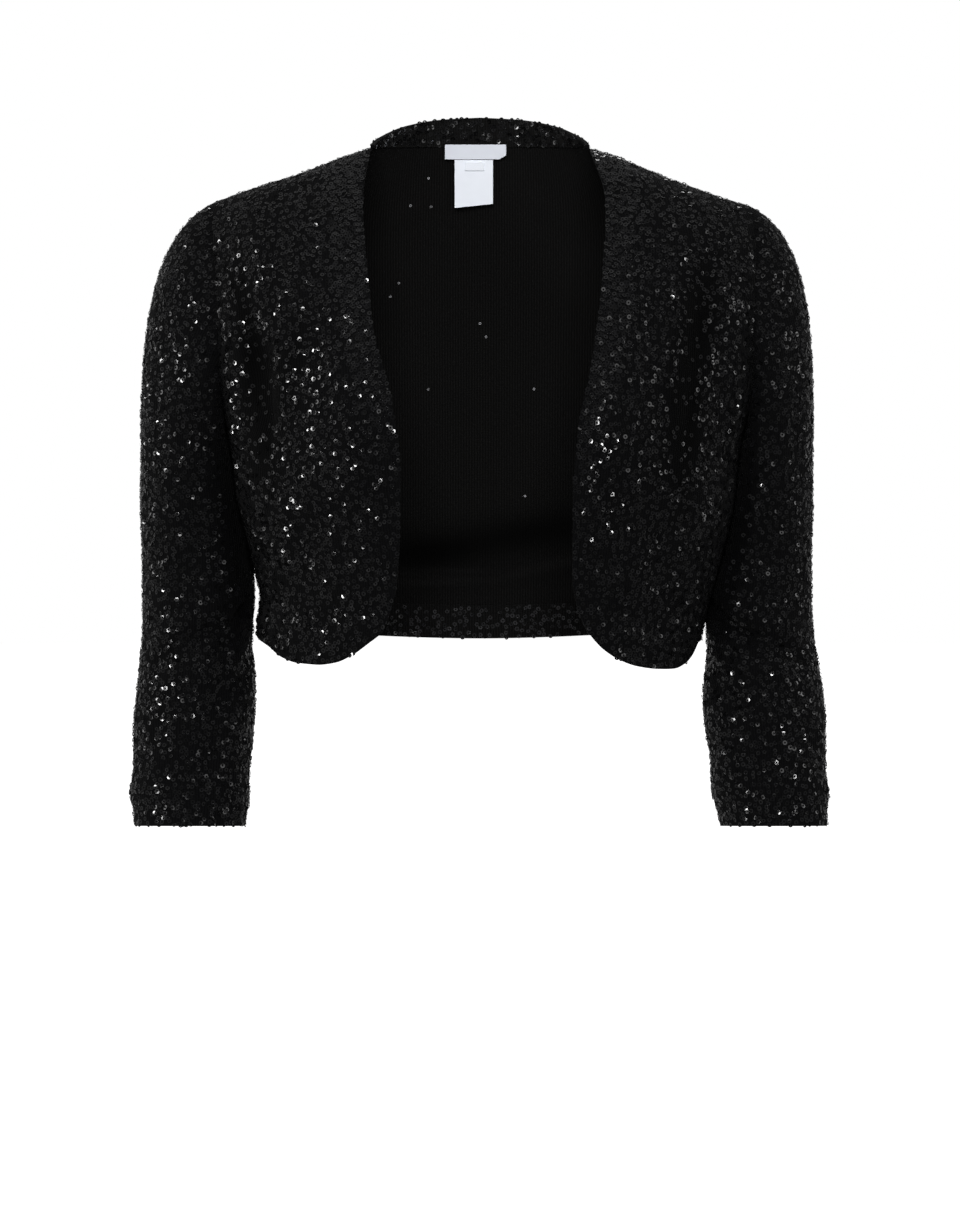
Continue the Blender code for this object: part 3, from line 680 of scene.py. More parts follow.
def folded(grid, folds, away_from, sides):
    """The grid with small folds raised or sunk in it, fading out at its seams."""
    place = grid[..., (0, 2)]
    rise = sum(line_rise((fold.x_from, fold.z_from), (fold.x_to, fold.z_to),
                         fold.spread, fold.rise, place) for fold in folds)
    fade = np.clip(edge_distance(grid, sides) / SEAM_BLEND, 0, 1)
    return grid - inward(grid, away_from) * (rise * fade)[..., None]


def armhole_frame(side, front, half):
    """The armhole loop with its inward and outward directions."""
    last = UNDERARM_ROW * FINE
    loop = np.concatenate((front[:last + 1, -1], half[last - 1:0:-1, 0]))
    into = unit(loop.mean(axis=0) - loop)
    tangent = unit(np.roll(loop, -1, axis=0) - np.roll(loop, 1, axis=0))
    out = unit(np.cross(tangent, into))
    if out[:, 0].sum() * side < 0:
        out = -out
    return loop, into, out


Panel3D = namedtuple("Panel3D", "outer into ring shade", defaults=(None,))


def shade_of(places, shades):
    """How deep each place lies in the listed folds, from 0 to about 1, for painted shade or
    highlight.
    """
    total = sum(line_rise((shade.x_from, shade.z_from), (shade.x_to, shade.z_to),
                          shade.spread, shade.rise, places) for shade in shades)
    return np.clip(total, 0, SHADE_MOST)


@functools.lru_cache(maxsize=None)
def torso_form():
    """Both fronts, the back and the armhole loops."""
    low = UNDERARM_ROW * FINE
    seam = SHOULDER_COLUMNS * FINE
    right = back_half_outer(RIGHT)
    left = back_half_outer(LEFT)
    back = np.concatenate((right, left[:, -2::-1]), axis=1)
    back = folded(back, BACK_FOLDS, torso_axis, ("first", "last", "top", "bottom"))
    back_into = inward(back, torso_axis)
    panels = {}
    armholes = {}
    for side in (RIGHT, LEFT):
        front = front_outer(side)
        front = folded(front, FRONT_FOLDS, torso_axis, ("last", "top"))
        into = inward(front, torso_axis)
        half = back if side == RIGHT else back[:, ::-1]
        half_into = back_into if side == RIGHT else back_into[:, ::-1]
        loop, loop_into, loop_out = armhole_frame(side, front, half)
        armholes[side] = (loop, loop_into, loop_out)

        into[0] = DOWN
        into[low:, -1] = (-side, 0.0, 0.0)
        into[:low + 1, -1] = loop_into[:low + 1]
        front[:low + 1, -1] -= loop_out[:low + 1] * SEAM_HALF
        front[0] += AHEAD * SEAM_HALF
        front[low:, -1] += AHEAD * SEAM_HALF

        half_into[0, :seam + 1] = DOWN
        half_into[low:, 0] = (-side, 0.0, 0.0)
        around = [0] + list(range(len(loop) - 1, low - 1, -1))
        half_into[:low + 1, 0] = loop_into[around]
        half[:low + 1, 0] -= loop_out[around] * SEAM_HALF
        half[0, :seam + 1] -= AHEAD * SEAM_HALF
        half[low:, 0] -= AHEAD * SEAM_HALF
        panels[side] = Panel3D(front, into, False,
                               shade_of(front[..., (0, 2)], FRONT_SHADES))
    return panels, Panel3D(back, back_into, False), armholes


def crease_rise(side, angles, z):
    """How far the creases lift the sleeve at many angles and heights."""
    place = np.stack((np.radians(angles) * ARM_RADIUS, z), axis=-1)
    total = np.zeros(len(angles))
    for crease in SLEEVE_CREASES + FINE_CREASES[side]:
        start = np.array((math.radians(crease.angle_from) * ARM_RADIUS, crease.height_from))
        end = np.array((math.radians(crease.angle_to) * ARM_RADIUS, crease.height_to))
        run = end - start
        t = np.clip((place - start) @ run / (run @ run), 0, 1)
        far = np.linalg.norm(place - start - t[:, None] * run, axis=1)
        total += crease.rise * np.exp(-(far / crease.spread) ** 2)
    return total


def sleeve_ring(side, z, count):
    """One ring of the sleeve; the angle is 0 outside, 90 in front and 180 inside."""
    name = SIDE_NAMES[side]
    out = smooth(SLEEVE, "height", name + "_out", z)
    inner = smooth(SLEEVE, "height", name + "_in", z)
    middle = smooth(SLEEVE, "height", "middle", z)
    depth = smooth(SLEEVE, "height", "depth", z)
    tilt = smooth(SLEEVE, "height", "tilt", z)
    power = 2 / SLEEVE_POWER
    angles = 360 * np.arange(count) / count
    turn = np.radians(angles)
    across = np.copysign(np.abs(np.cos(turn)) ** power, np.cos(turn))
    ahead = np.copysign(np.abs(np.sin(turn)) ** power, np.sin(turn))
    rise = crease_rise(side, angles, np.full(count, float(z)))
    reach_x = ((out - inner) / 2 + rise) * across
    reach_y = (depth + rise) * ahead
    lift = np.tan(np.radians(tilt)) * reach_y
    return np.stack((side * ((out + inner) / 2 + reach_x), middle - reach_y, z + lift), axis=-1)


def clear_of_torso(side, points):
    """Push points of a sleeve out to where they just clear the torso's side."""
    y = points[:, 1]
    z = points[:, 2]
    fade = np.clip((UNDERARM - z) / CLEAR_FADE, 0.0, 1.0)
    least = torso_side(side, y, np.minimum(z, UNDERARM)) + SLEEVE_CLEAR * fade
    out = side * points[:, 0]
    points[:, 0] = side * np.where(z < UNDERARM, np.maximum(out, least), out)
    return points


@functools.lru_cache(maxsize=None)
def sleeve_form(side):
    """Outer rings of a sleeve from the armhole to the cuff seam."""
    loop, into, out = torso_form()[2][side]
    count = len(loop)
    top = clear_of_torso(side, sleeve_ring(side, SLEEVE_TOP, count))
    starts = loop + out * SEAM_HALF
    turn = 2 * math.pi * np.arange(count) / count
    share = (1 + np.cos(turn)) / 2
    outward = CAP_OUT_LEAST + CAP_OUT_MORE * share ** CAP_OUT_POWER
    leans = unit(np.stack((side * outward, -CAP_AHEAD * np.sin(turn),
                           -(1.0 - CAP_DOWN_LESS * share)), axis=-1))
    chords = np.linalg.norm(top - starts, axis=1, keepdims=True)
    rings = [starts]
    for ring in range(1, CAP_RINGS * FINE):
        points = hermite(starts, leans * chords * CAP_REACH_TOP,
                         top, DOWN * chords * CAP_REACH_BOTTOM, ring / (CAP_RINGS * FINE))
        rings.append(clear_of_torso(side, points))
    rings.append(top)
    for ring in range(1, SLEEVE_RINGS * FINE + 1):
        z = SLEEVE_TOP + (SLEEVE_END - SLEEVE_TOP) * ring / (SLEEVE_RINGS * FINE)
        rings.append(clear_of_torso(side, sleeve_ring(side, z, count)))
    outer = np.array(rings)
    sleeve_into = inward(outer, ring_middles, closed=True)
    sleeve_into[0] = into
    angles = np.broadcast_to(turn * ARM_RADIUS, outer.shape[:2])
    places = np.stack((angles, outer[..., 2]), axis=-1)
    return Panel3D(outer, sleeve_into, True, shade_of(places, SLEEVE_SHADES))


@functools.lru_cache(maxsize=None)
def cuff_form(side):
    """Outer rings of a cuff."""
    heights = np.linspace(SLEEVE_END - SEAM_GAP, CUFF_END, CUFF_RINGS * FINE + 1)
    rings = np.array([sleeve_ring(side, z, RING_POINTS * FINE) for z in heights])
    return Panel3D(rings, inward(rings, ring_middles, closed=True), True)


@functools.lru_cache(maxsize=None)
def band_form():
    """Outer points of the band that stands at the back neck."""
    angles = np.linspace(-BAND_END_ANGLE, BAND_END_ANGLE, BAND_COLUMNS * FINE + 1)
    rows = []
    for row in range(BAND_ROWS * FINE + 1):
        share = row / (BAND_ROWS * FINE)
        line = []
        for angle in angles:
            turn = math.radians(angle)
            height = float(smooth(BAND_HEIGHTS, "angle", "height", abs(angle)))
            outward = np.array((math.sin(turn), math.cos(turn), 0.0))
            rise = np.array((0.0, 0.0, SEAM_GAP + height * share))
            point = neck_seam(angle) - outward * BAND_LEAN * height * share + rise
            if row == 0:
                point -= outward * BAND_SUNK + np.array((0.0, 0.0, BAND_TUCK))
            line.append(point)
        rows.append(line)
    outer = np.array(rows)[::-1]
    into = inward(outer, lambda grid: grid * np.array((0.0, 0.0, 1.0)))
    into[-1] *= (BAND_CLOTH - BAND_SUNK) / BAND_CLOTH
    return Panel3D(outer, into, False)


@functools.lru_cache(maxsize=None)
def facing_form():
    """The outer side of the hem turned up inside the back."""
    back = torso_form()[1]
    skip = FACING_SKIP * FINE
    columns = slice(skip, back.outer.shape[1] - skip)
    hem = back.outer[-1, columns]
    row_step = (back.outer[-2, columns, 2] - hem[:, 2]).mean()
    rows = []
    rows_into = []
    for row in range(FACING_ROWS, -1, -1):
        share = row / FACING_ROWS * FACING_HEIGHT / row_step
        low = min(int(share), back.outer.shape[0] - 2)
        part = share - low
        upper = back.outer[-2 - low, columns]
        lower = back.outer[-1 - low, columns]
        rows.append(lower + (upper - lower) * part)
        upper_into = back.into[-2 - low, columns]
        lower_into = back.into[-1 - low, columns]
        rows_into.append(unit(lower_into + (upper_into - lower_into) * part))
    outer = np.array(rows)
    into = np.array(rows_into)
    return Panel3D(outer + into * (KNIT_IN_SOLIDS + SEAM_GAP), into, False)


def runs(panel):
    """Lengths along the cloth across and down, with a closing column on a ring."""
    grid = panel.outer
    if panel.ring:
        grid = np.concatenate((grid, grid[:, :1]), axis=1)
    steps = np.linalg.norm(np.diff(grid, axis=1), axis=-1)
    across = np.concatenate((np.zeros((grid.shape[0], 1)), np.cumsum(steps, axis=1)), axis=1)
    if panel.ring:
        across = np.repeat(across[-1:] * 1.0, grid.shape[0], axis=0)
    else:
        across = across - across[:, grid.shape[1] // 2][:, None]
    steps = np.linalg.norm(np.diff(grid, axis=0), axis=-1)
    along = np.concatenate((np.zeros((1, grid.shape[1])), np.cumsum(steps, axis=0)), axis=0)
    return across * MM, along * MM


def mesh_object(name, points, faces, materials, uvs=None, slots=None):
    """An object from arrays of points in metres and of faces."""
    mesh = bpy.data.meshes.new(name)
    sides = faces.shape[1]
    mesh.vertices.add(len(points))
    mesh.vertices.foreach_set("co", np.asarray(points, dtype=np.float32).ravel())
    mesh.loops.add(faces.size)
    mesh.loops.foreach_set("vertex_index", faces.astype(np.int32).ravel())
    mesh.polygons.add(len(faces))
    mesh.polygons.foreach_set("loop_start", np.arange(0, faces.size, sides, dtype=np.int32))
    mesh.polygons.foreach_set("loop_total", np.full(len(faces), sides, dtype=np.int32))
    mesh.update(calc_edges=True)
    mesh.polygons.foreach_set("use_smooth", np.ones(len(faces), dtype=bool))
    for made in materials:
        mesh.materials.append(made)
    if slots is not None:
        mesh.polygons.foreach_set("material_index", slots.astype(np.int32))
    if uvs is not None:
        layer = mesh.uv_layers.new(name="cloth")
        layer.data.foreach_set("uv", uvs.astype(np.float32).ravel())
    mesh.validate()
    piece = bpy.data.objects.new(name, mesh)
    bpy.context.scene.collection.objects.link(piece)
    return piece


def select_only(piece):
    """Make one object the only selected and active one."""
    bpy.ops.object.select_all(action="DESELECT")
    piece.select_set(True)
    bpy.context.view_layer.objects.active = piece


def cloth_shell(name, panel, thickness, materials, inner_lit=None):
    """One closed wall of cloth on a panel's points, with its lining side inside."""
    outer = panel.outer * MM
    inner = outer + panel.into * thickness
    rows, columns = outer.shape[:2]
    spans = columns if panel.ring else columns - 1
    index = np.arange(rows * columns).reshape(rows, columns)
    across, along = runs(panel)
    place = np.stack((across, along), axis=-1)
    i, j = (grid.ravel() for grid in np.meshgrid(np.arange(rows - 1), np.arange(spans),
                                                 indexing="ij"))
    k = (j + 1) % columns
    skin = np.stack((index[i, j], index[i + 1, j], index[i + 1, k], index[i, k]), axis=-1)
    skin_uv = np.stack((place[i, j], place[i + 1, j], place[i + 1, j + 1], place[i, j + 1]),
                       axis=1)
    below = rows * columns
    faces = [skin, skin[:, ::-1] + below]
    uvs = [skin_uv, skin_uv[:, ::-1]]
    slots = [np.zeros(len(skin)), np.ones(len(skin))]

    j = np.arange(spans)
    k = (j + 1) % columns
    for row, turned in ((0, False), (rows - 1, True)):
        rim = np.stack((index[row, k], index[row, k] + below,
                        index[row, j] + below, index[row, j]), axis=-1)
        rim_uv = np.stack((place[row, j + 1], place[row, j + 1], place[row, j],
                           place[row, j]), axis=1)
        faces.append(rim[:, ::-1] if turned else rim)
        uvs.append(rim_uv[:, ::-1] if turned else rim_uv)
        slots.append(np.zeros(len(rim)))
    if not panel.ring:
        i = np.arange(rows - 1)
        for column, turned in ((0, False), (columns - 1, True)):
            rim = np.stack((index[i, column], index[i, column] + below,
                            index[i + 1, column] + below, index[i + 1, column]), axis=-1)
            rim_uv = np.stack((place[i, column], place[i, column], place[i + 1, column],
                               place[i + 1, column]), axis=1)
            faces.append(rim[:, ::-1] if turned else rim)
            uvs.append(rim_uv[:, ::-1] if turned else rim_uv)
            slots.append(np.zeros(len(rim)))
    faces = np.concatenate(faces)
    uvs = np.concatenate(uvs)
    points = np.concatenate((outer.reshape(-1, 3), inner.reshape(-1, 3)))
    corners = points[faces]
    volume = np.sum(np.cross(corners[:, 0], corners[:, 1]) * corners[:, 2])
    volume += np.sum(np.cross(corners[:, 0], corners[:, 2]) * corners[:, 3])
    if volume < 0:
        faces = faces[:, ::-1]
        uvs = uvs[:, ::-1]
    piece = mesh_object(name, points, faces, materials, uvs, np.concatenate(slots))
    # Painted shade: the lit values darken the knit in deep folds, and set the painted level of its
    # inner side
    lit = np.ones(rows * columns) if panel.shade is None else 1 - panel.shade.ravel()
    layer = piece.data.attributes.new("lit", "FLOAT", "POINT")
    within = np.full(len(lit), INNER_LIT) if inner_lit is None else inner_lit.ravel()
    layer.data.foreach_set("value", np.concatenate((lit, within)).astype(np.float32))
    select_only(piece)
    bpy.ops.object.shade_smooth_by_angle(angle=SMOOTH_ANGLE)
    return piece


def surface(grid, rows, columns):
    """Values of a grid at places between its rows and columns."""
    low_row = np.clip(rows.astype(int), 0, grid.shape[0] - 2)
    low_column = np.clip(columns.astype(int), 0, grid.shape[1] - 2)
    down = (rows - low_row)[:, None]
    over = (columns - low_column)[:, None]
    top = grid[low_row, low_column] * (1 - over) + grid[low_row, low_column + 1] * over
    bottom = (grid[low_row + 1, low_column] * (1 - over)
              + grid[low_row + 1, low_column + 1] * over)
    return top * (1 - down) + bottom * down


def closed_grids(panel):
    """Outer points and directions into the cloth, with a closing column on a ring."""
    if panel.ring:
        return (np.concatenate((panel.outer, panel.outer[:, :1]), axis=1),
                np.concatenate((panel.into, panel.into[:, :1]), axis=1))
    return panel.outer, panel.into


def spread_out(points, spacing, taken=()):
    """Which points of a list to keep, so that none lies closer to another than spacing."""
    cells = {}
    kept = []
    for point in taken:
        key = tuple(np.floor(point / spacing).astype(int))
        cells.setdefault(key, []).append(tuple(point))
    keys = np.floor(points / spacing).astype(int).tolist()
    places = points.tolist()
    least = spacing * spacing
    around = [(a, b, c) for a in (-1, 0, 1) for b in (-1, 0, 1) for c in (-1, 0, 1)]
    for number, (key, place) in enumerate(zip(keys, places)):
        clear = True
        for a, b, c in around:
            for other in cells.get((key[0] + a, key[1] + b, key[2] + c), ()):
                dx = place[0] - other[0]
                dy = place[1] - other[1]
                dz = place[2] - other[2]
                if dx * dx + dy * dy + dz * dz < least:
                    clear = False
                    break
            if not clear:
                break
        if clear:
            cells.setdefault(tuple(key), []).append(tuple(place))
            kept.append(number)
    return np.array(kept, dtype=int)


Spot = namedtuple("Spot", "points normals")
TRIES = 2.2
TAKEN_PLACE = 9.6


def scattered(panel, sizes, margins, seed, taken=(), closer=1.0):
    """Sequin places spread unevenly over a panel, clear of its seams."""
    rng = np.random.default_rng(seed)
    grid, into = closed_grids(panel)
    columns = grid.shape[1] - 1
    edges = np.linalg.norm(np.cross(grid[1:, 1:] - grid[:-1, :-1],
                                    grid[1:, :-1] - grid[:-1, 1:]), axis=-1) / 2
    share = (edges / edges.sum()).ravel()
    spacing = sizes.sequin_spacing / MM / closer
    wanted = edges.sum() * sizes.sequins_per_cm2 / 100 * closer ** 2
    count = int(wanted * TRIES)
    cell = rng.choice(len(share), size=count, p=share)
    at_row = cell // columns + rng.random(count)
    at_column = cell % columns + rng.random(count)
    points = surface(grid, at_row, at_column)
    normals = -unit(surface(into, at_row, at_column))
    clear = np.ones(count, dtype=bool)
    for name, margin in margins.items():
        far = surface(edge_distance(grid, (name,))[..., None], at_row, at_column)[:, 0]
        clear &= far >= margin
    if panel.shade is not None:
        shade = panel.shade
        if panel.ring:
            shade = np.concatenate((shade, shade[:, :1]), axis=1)
        deep = surface(shade[..., None], at_row, at_column)[:, 0]
        clear &= rng.random(count) > deep * SHADE_THINNING
    points = points[clear]
    normals = normals[clear]
    kept = spread_out(points, spacing, taken)
    free = 1 - len(taken) * TAKEN_PLACE / edges.sum()
    kept = kept[:int(wanted * clear.mean() * free)]
    return Spot(points[kept], normals[kept])


# Areas where a share of the sequins is turned to mirror the spark light into the camera
Flank = namedtuple("Flank", "x z spread_x spread_z share")
FLANK_LEAN = unit(np.array((-0.35, -0.925, 0.133)))
FLANK_SPREAD = math.radians(3.5)
FLANK_FRONT = -0.35
FLANKS = (
    Flank(-155, -80, 6, 34, 0.40),
    Flank(-171, -172, 5, 32, 0.28),
    Flank(-93, -195, 20, 34, 0.06),
    Flank(-130, -240, 8, 30, 0.24),
    Flank(84, -205, 13, 34, 0.45),
    Flank(142, -78, 12, 22, 0.06),
    Flank(178, -175, 4, 36, 0.25),
    Flank(-230, -170, 9, 55, 0.20),
    Flank(-227, -389, 14, 45, 0.20),
    Flank(224, -410, 12, 30, 0.10),
)


def flank_share(points, normals):
    """How likely each sequin is to be turned to mirror the light; only ones in front are."""
    share = np.zeros(len(points))
    for flank in FLANKS:
        far = (((points[:, 0] - flank.x) / flank.spread_x) ** 2
               + ((points[:, 2] - flank.z) / flank.spread_z) ** 2)
        share += flank.share * np.exp(-far)
    return np.where(normals[:, 1] < FLANK_FRONT, share, 0.0)


# How sequins lie: lift off the cloth, share turned over, limits of tilt and of size
SEQUIN_LIFT = 0.10
CUPS_TURNED_OVER = 0.25
MOST_TILT = 2.2
TILT_LIFT = 0.45
SIZE_SPREAD = 0.04
SIZE_LEAST = 0.88
SIZE_MOST = 1.12
STEEPEST_COSINE = 0.3


def sequin_object(name, spot, sizes, seed, finish, tilt, lift=SEQUIN_LIFT, small=1.0):
    """Many cup sequins as one mesh: shallow rings round a hole, each tilted its own way."""
    rng = np.random.default_rng(seed)
    count = len(spot.points)
    normals = unit(spot.normals)
    helper = np.where(np.abs(normals[:, 2:]) > 0.9, (1.0, 0.0, 0.0), (0.0, 0.0, 1.0))
    first = unit(np.cross(helper, normals))
    second = np.cross(normals, first)
    heading = rng.random(count) * 2 * math.pi
    amount = np.minimum(tilt * np.sqrt(-2 * np.log(1 - rng.random(count))), tilt * MOST_TILT)
    lean = first * np.cos(heading)[:, None] + second * np.sin(heading)[:, None]
    axis = unit(normals * np.cos(amount)[:, None] + lean * np.sin(amount)[:, None])
    flanked = rng.random(count) < flank_share(spot.points, normals)
    toward = unit(FLANK_LEAN + rng.normal(0, FLANK_SPREAD, (count, 3)))
    axis = np.where(flanked[:, None], toward, axis)
    amount = np.arccos(np.clip(np.sum(axis * normals, axis=1), STEEPEST_COSINE, 1.0))
    first = unit(np.cross(second, axis))
    second = np.cross(axis, first)
    spin = rng.random(count) * 2 * math.pi
    cup = np.where(rng.random(count) < CUPS_TURNED_OVER, -1.0, 1.0)
    radius = sizes.sequin_diameter / 2 * small
    scale = radius * rng.normal(1.0, SIZE_SPREAD, count).clip(SIZE_LEAST, SIZE_MOST)
    height = lift * MM + radius * TILT_LIFT * np.sin(amount)
    centre = spot.points * MM + normals * height[:, None]
    turns = np.arange(sizes.sequin_sides) * 2 * math.pi / sizes.sequin_sides
    turn = spin[:, None] + turns
    ray = (first[:, None] * np.cos(turn)[..., None] + second[:, None] * np.sin(turn)[..., None])
    hole = sizes.sequin_hole / sizes.sequin_diameter
    depth = sizes.sequin_cup * cup
    rim = centre[:, None] + ray * scale[:, None, None] + (axis * depth[:, None])[:, None] / 2
    inner = (centre[:, None] + ray * (scale * hole)[:, None, None]
             - (axis * depth[:, None])[:, None] / 2)
    points = np.concatenate((inner, rim), axis=1).reshape(-1, 3)
    sides = sizes.sequin_sides
    step = np.arange(sides)
    after = (step + 1) % sides
    ring = np.stack((step, step + sides, after + sides, after), axis=-1)
    faces = (ring[None] + (np.arange(count) * 2 * sides)[:, None, None]).reshape(-1, 4)
    piece = mesh_object(name, points, faces, [finish])
    tone = piece.data.attributes.new("tone", "FLOAT", "POINT")
    tone.data.foreach_set("value", np.repeat(rng.random(count), 2 * sides).astype(np.float32))
    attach(piece, "root")
    return piece


def new_material(name, color, roughness, specular):
    """A material with its shader's plain values set on the shader's own sockets."""
    made = bpy.data.materials.new(name)
    made.use_nodes = True
    shader = made.node_tree.nodes["Principled BSDF"]
    shader.inputs["Base Color"].default_value = (*color, 1.0)
    shader.inputs["Roughness"].default_value = roughness
    shader.inputs["Specular IOR Level"].default_value = specular
    return made, made.node_tree.nodes, made.node_tree.links, shader


def wave_scale(pitch):
    """Scale of a wave texture whose bands lie one pitch apart."""
    return 2 * math.pi / (20 * pitch)


KNIT_ROUGHNESS = 0.92
KNIT_SPECULAR = 0.12
STITCH_SHARE = 0.62
# Colour in painted shade, as a share of the knit's own: grooves darken towards it, deep folds to a
# quarter
GROUND_SHADE = 0.4
REVERSE_SHADE = 0.3
GROUND_RELIEF = 0.0004
REVERSE_RELIEF = 0.0006


def knit_material(name, color, shade, pitch, depth):
    """Ribbed knit: fine ribs down the cloth, crossed by rows of stitches, with painted shade in
    their grooves.
    """
    made, nodes, links, shader = new_material(name, color, KNIT_ROUGHNESS, KNIT_SPECULAR)
    place = nodes.new("ShaderNodeUVMap")
    place.uv_map = "cloth"
    ribs = nodes.new("ShaderNodeTexWave")
    ribs.bands_direction = "X"
    ribs.inputs["Scale"].default_value = wave_scale(pitch)
    ribs.inputs["Distortion"].default_value = 0.6
    ribs.inputs["Detail"].default_value = 2.0
    stitches = nodes.new("ShaderNodeTexWave")
    stitches.bands_direction = "Y"
    stitches.inputs["Scale"].default_value = wave_scale(pitch * STITCH_SHARE)
    stitches.inputs["Distortion"].default_value = 1.2
    links.new(place.outputs["UV"], ribs.inputs["Vector"])
    links.new(place.outputs["UV"], stitches.inputs["Vector"])
    mixed = nodes.new("ShaderNodeMath")
    mixed.operation = "MULTIPLY_ADD"
    mixed.inputs[1].default_value = 0.35
    links.new(stitches.outputs["Fac"], mixed.inputs[0])
    links.new(ribs.outputs["Fac"], mixed.inputs[2])
    blotch = nodes.new("ShaderNodeTexNoise")
    blotch.inputs["Scale"].default_value = 600.0
    links.new(place.outputs["UV"], blotch.inputs["Vector"])
    depth_mix = nodes.new("ShaderNodeMath")
    depth_mix.operation = "MULTIPLY"
    links.new(mixed.outputs["Value"], depth_mix.inputs[0])
    links.new(blotch.outputs["Fac"], depth_mix.inputs[1])
    # Painted shade: darker in the grooves between ribs and stitches, broken up by random blotches
    # of tone
    tint = nodes.new("ShaderNodeMix")
    tint.data_type = "RGBA"
    tint.inputs["A"].default_value = (*shade, 1.0)
    tint.inputs["B"].default_value = (*color, 1.0)
    links.new(depth_mix.outputs["Value"], tint.inputs["Factor"])
    # Painted shade: the lit attribute darkens the knit to a quarter of its groove shade in deep
    # folds
    lit = nodes.new("ShaderNodeAttribute")
    lit.attribute_name = "lit"
    dark = nodes.new("ShaderNodeMix")
    dark.data_type = "RGBA"
    dark.inputs["A"].default_value = (*(part * 0.25 for part in shade), 1.0)
    links.new(lit.outputs["Fac"], dark.inputs["Factor"])
    links.new(tint.outputs["Result"], dark.inputs["B"])
    links.new(dark.outputs["Result"], shader.inputs["Base Color"])
    bump = nodes.new("ShaderNodeBump")
    bump.inputs["Strength"].default_value = 0.7
    bump.inputs["Distance"].default_value = depth
    links.new(mixed.outputs["Value"], bump.inputs["Height"])
    links.new(bump.outputs["Normal"], shader.inputs["Normal"])
    shader.inputs["Sheen Weight"].default_value = 0.01
    shader.inputs["Sheen Roughness"].default_value = 0.5
    return made


# Light grey painted on the sequins seen inside the back, as painted glints
PAINTED_GLINT_COLOR = (0.22, 0.22, 0.23)
PAINTED_GLINT_ROUGHNESS = 0.35
SEQUIN_SPECULAR = 0.5
# Sequins of the hem facing are painted lighter than the black ones, as painted light
FACING_PAINTED_LIGHT_COLOR = (0.016, 0.016, 0.017)


def sequin_material(name, color, roughness):
    """Glossy sequin plastic in a given colour, differing a little from sequin to sequin."""
    made, nodes, links, shader = new_material(name, color, roughness, SEQUIN_SPECULAR)
    tone = nodes.new("ShaderNodeAttribute")
    tone.attribute_name = "tone"
    rough = nodes.new("ShaderNodeMapRange")
    rough.inputs["To Min"].default_value = roughness * 0.7
    rough.inputs["To Max"].default_value = roughness * 1.5
    links.new(tone.outputs["Fac"], rough.inputs["Value"])
    links.new(rough.outputs["Result"], shader.inputs["Roughness"])
    tint = nodes.new("ShaderNodeMix")
    tint.data_type = "RGBA"
    tint.inputs["A"].default_value = (*(part * 0.5 for part in color), 1.0)
    tint.inputs["B"].default_value = (*(part * 1.5 for part in color), 1.0)
    links.new(tone.outputs["Fac"], tint.inputs["Factor"])
    links.new(tint.outputs["Result"], shader.inputs["Base Color"])
    return made


SATIN_ROUGHNESS = 0.5
SATIN_SPECULAR = 0.35
WARP_PITCH = 0.00045
WEFT_PITCH = 0.0006


def satin_material(name, color):
    """White woven satin with a fine weave and faint unevenness."""
    made, nodes, links, shader = new_material(name, color, SATIN_ROUGHNESS, SATIN_SPECULAR)
    place = nodes.new("ShaderNodeUVMap")
    place.uv_map = "cloth"
    warp = nodes.new("ShaderNodeTexWave")
    warp.bands_direction = "X"
    warp.inputs["Scale"].default_value = wave_scale(WARP_PITCH)
    weft = nodes.new("ShaderNodeTexWave")
    weft.bands_direction = "Y"
    weft.inputs["Scale"].default_value = wave_scale(WEFT_PITCH)
    cloud = nodes.new("ShaderNodeTexNoise")
    cloud.inputs["Scale"].default_value = 90.0
    for node in (warp, weft, cloud):
        links.new(place.outputs["UV"], node.inputs["Vector"])
    weave = nodes.new("ShaderNodeMath")
    weave.operation = "MULTIPLY"
    links.new(warp.outputs["Fac"], weave.inputs[0])
    links.new(weft.outputs["Fac"], weave.inputs[1])
    tint = nodes.new("ShaderNodeMix")
    tint.data_type = "RGBA"
    tint.inputs["A"].default_value = (*(part * 0.93 for part in color), 1.0)
    tint.inputs["B"].default_value = (*color, 1.0)
    links.new(cloud.outputs["Fac"], tint.inputs["Factor"])
    links.new(tint.outputs["Result"], shader.inputs["Base Color"])
    bump = nodes.new("ShaderNodeBump")
    bump.inputs["Strength"].default_value = 0.35
    bump.inputs["Distance"].default_value = 0.0001
    links.new(weave.outputs["Value"], bump.inputs["Height"])
    links.new(bump.outputs["Normal"], shader.inputs["Normal"])
    shader.inputs["Sheen Weight"].default_value = 0.2
    return made


def material(name):
    """A finish of the jacket, made the first time that it is asked for."""
    found = bpy.data.materials.get(name)
    if found is not None:
        return found
    finish = bpy.context.scene.bolero_finish
    if name == "knit_ground":
        shade = tuple(part * GROUND_SHADE for part in finish.knit_color)
        return knit_material(name, tuple(finish.knit_color), shade, finish.rib_pitch,
                             GROUND_RELIEF)
    if name == "knit_reverse":
        shade = tuple(part * REVERSE_SHADE for part in finish.reverse_color)
        return knit_material(name, tuple(finish.reverse_color), shade, finish.rib_pitch,
                             REVERSE_RELIEF)
    if name == "black_sequin":
        return sequin_material(name, tuple(finish.sequin_color), finish.sequin_roughness)
    if name == "sequin_underside":
        return sequin_material(name, PAINTED_GLINT_COLOR, PAINTED_GLINT_ROUGHNESS)
    if name == "inner_sequin":
        return sequin_material(name, FACING_PAINTED_LIGHT_COLOR, finish.sequin_roughness)
    if name == "white_taffeta":
        return satin_material(name, tuple(finish.taffeta_color))
    return satin_material(name, tuple(finish.satin_color))


